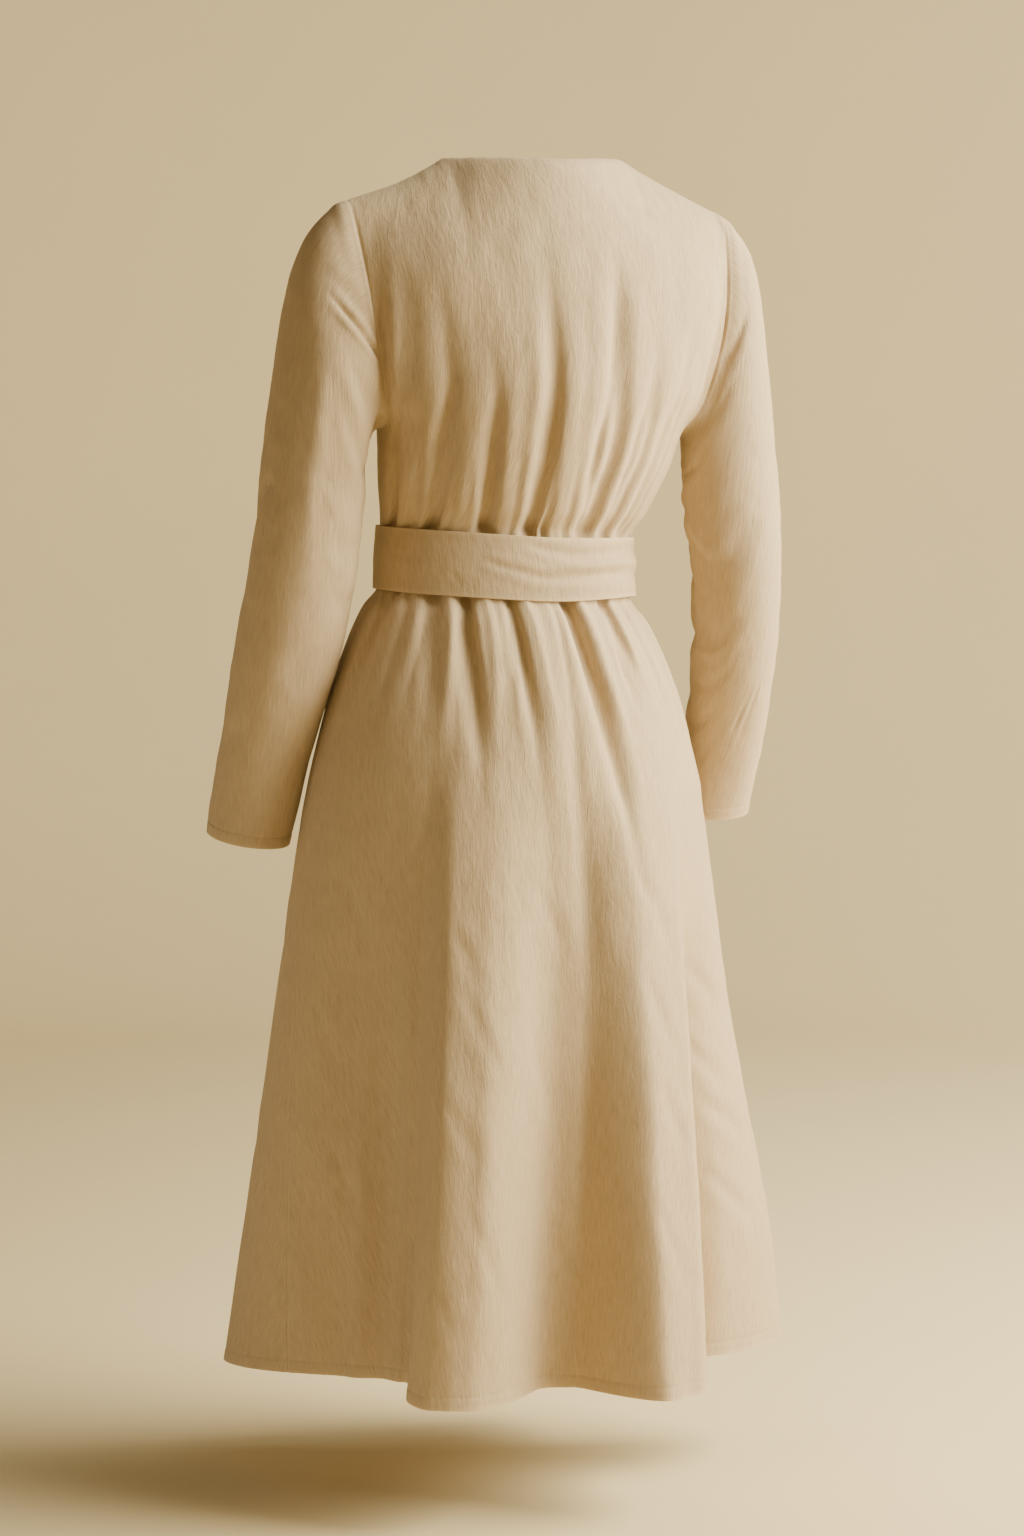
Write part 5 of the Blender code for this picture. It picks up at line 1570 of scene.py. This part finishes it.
class StageLook(bpy.types.PropertyGroup):
    """Backdrop and lights."""

    paper_colour: FloatVectorProperty(
        name="Paper", description="Colour of the backdrop",
        default=(0.74, 0.62, 0.38), size=3, min=0.0, max=1.0, subtype="COLOR"
    )
    key_power: FloatProperty(
        name="Key light", description="Power of the light from the right", default=210.0, min=0.0, unit="POWER"
    )
    fill_power: FloatProperty(
        name="Fill light", description="Power of the weak light from the left, below",
        default=1.6, min=0.0, unit="POWER"
    )
    paper_power: FloatProperty(
        name="Paper light", description="Power of the light on the backdrop", default=165.0, min=0.0, unit="POWER"
    )
    ambient: FloatProperty(
        name="Ambient", description="Strength of the light all round", default=0.07, min=0.0, max=5.0
    )


class DRESS_OT_bodice(bpy.types.Operator):
    """Build the back and the two wrapped fronts of the bodice"""

    bl_idname = "dress.bodice"
    bl_label = "Bodice"

    def execute(self, context):
        back, over, under = build_bodice(context.scene.dress_measures, dress_cloth())
        return {"FINISHED"}


class DRESS_OT_skirt(bpy.types.Operator):
    """Build the back and the two wrapped fronts of the skirt"""

    bl_idname = "dress.skirt"
    bl_label = "Skirt"

    def execute(self, context):
        back, over, under = build_skirt(context.scene.dress_measures, dress_cloth())
        return {"FINISHED"}


class DRESS_OT_sleeves(bpy.types.Operator):
    """Build the two set-in sleeves"""

    bl_idname = "dress.sleeves"
    bl_label = "Sleeves"

    def execute(self, context):
        for sleeve in build_sleeves(context.scene.dress_measures, dress_cloth()):
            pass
        return {"FINISHED"}


class DRESS_OT_belt(bpy.types.Operator):
    """Build the tie belt: its band, knot and hanging ends"""

    bl_idname = "dress.belt"
    bl_label = "Belt"

    def execute(self, context):
        belt, knot, ends = build_belt(context.scene.dress_measures, belt_cloth())
        return {"FINISHED"}


class DRESS_OT_stitches(bpy.types.Operator):
    """Sew the hem and the cuffs with small stitches"""

    bl_idname = "dress.stitches"
    bl_label = "Hem stitches"

    def execute(self, context):
        if not HEMS:
            raise RuntimeError("build the skirt and the sleeves first")
        tree = stitch_tree()
        material = thread_material("thread", context.scene.cloth_look.dress_colour)
        for panel in HEMS:
            lay_stitches(panel, tree, material, context.scene.dress_measures)
        HEMS.clear()
        return {"FINISHED"}


class DRESS_OT_stage(bpy.types.Operator):
    """Set up the backdrop, the lights and the camera"""

    bl_idname = "dress.stage"
    bl_label = "Stage"

    def execute(self, context):
        build_stage(context.scene.stage_look)
        return {"FINISHED"}


class DRESS_PT_sidebar(bpy.types.Panel):
    """Lists the steps that build the dress"""

    bl_label = "Wrap dress"
    bl_idname = "DRESS_PT_sidebar"
    bl_space_type = "VIEW_3D"
    bl_region_type = "UI"
    bl_category = "Dress"

    def draw(self, context):
        scene = context.scene
        for settings in (scene.dress_measures, scene.cloth_look, scene.stage_look):
            for name in settings.__annotations__:
                self.layout.prop(settings, name)
        for operator in OPERATORS:
            self.layout.operator(operator.bl_idname)


# Panels whose hems are still to be stitched
HEMS = []
OPERATORS = (DRESS_OT_bodice, DRESS_OT_skirt, DRESS_OT_sleeves, DRESS_OT_belt, DRESS_OT_stitches, DRESS_OT_stage)
SETTINGS = (("dress_measures", DressMeasures), ("cloth_look", ClothLook), ("stage_look", StageLook))


def register():
    for name, settings in SETTINGS:
        bpy.utils.register_class(settings)
        setattr(bpy.types.Scene, name, PointerProperty(type=settings))
    for operator in OPERATORS:
        bpy.utils.register_class(operator)
    bpy.utils.register_class(DRESS_PT_sidebar)


def unregister():
    bpy.utils.unregister_class(DRESS_PT_sidebar)
    for operator in reversed(OPERATORS):
        bpy.utils.unregister_class(operator)
    for name, settings in reversed(SETTINGS):
        delattr(bpy.types.Scene, name)
        bpy.utils.unregister_class(settings)


def main():
    register()
    bpy.ops.dress.bodice()
    bpy.ops.dress.skirt()
    bpy.ops.dress.sleeves()
    bpy.ops.dress.belt()
    bpy.ops.dress.stitches()
    bpy.ops.dress.stage()
    bpy.context.view_layer.update()


if __name__ == "__main__":
    main()
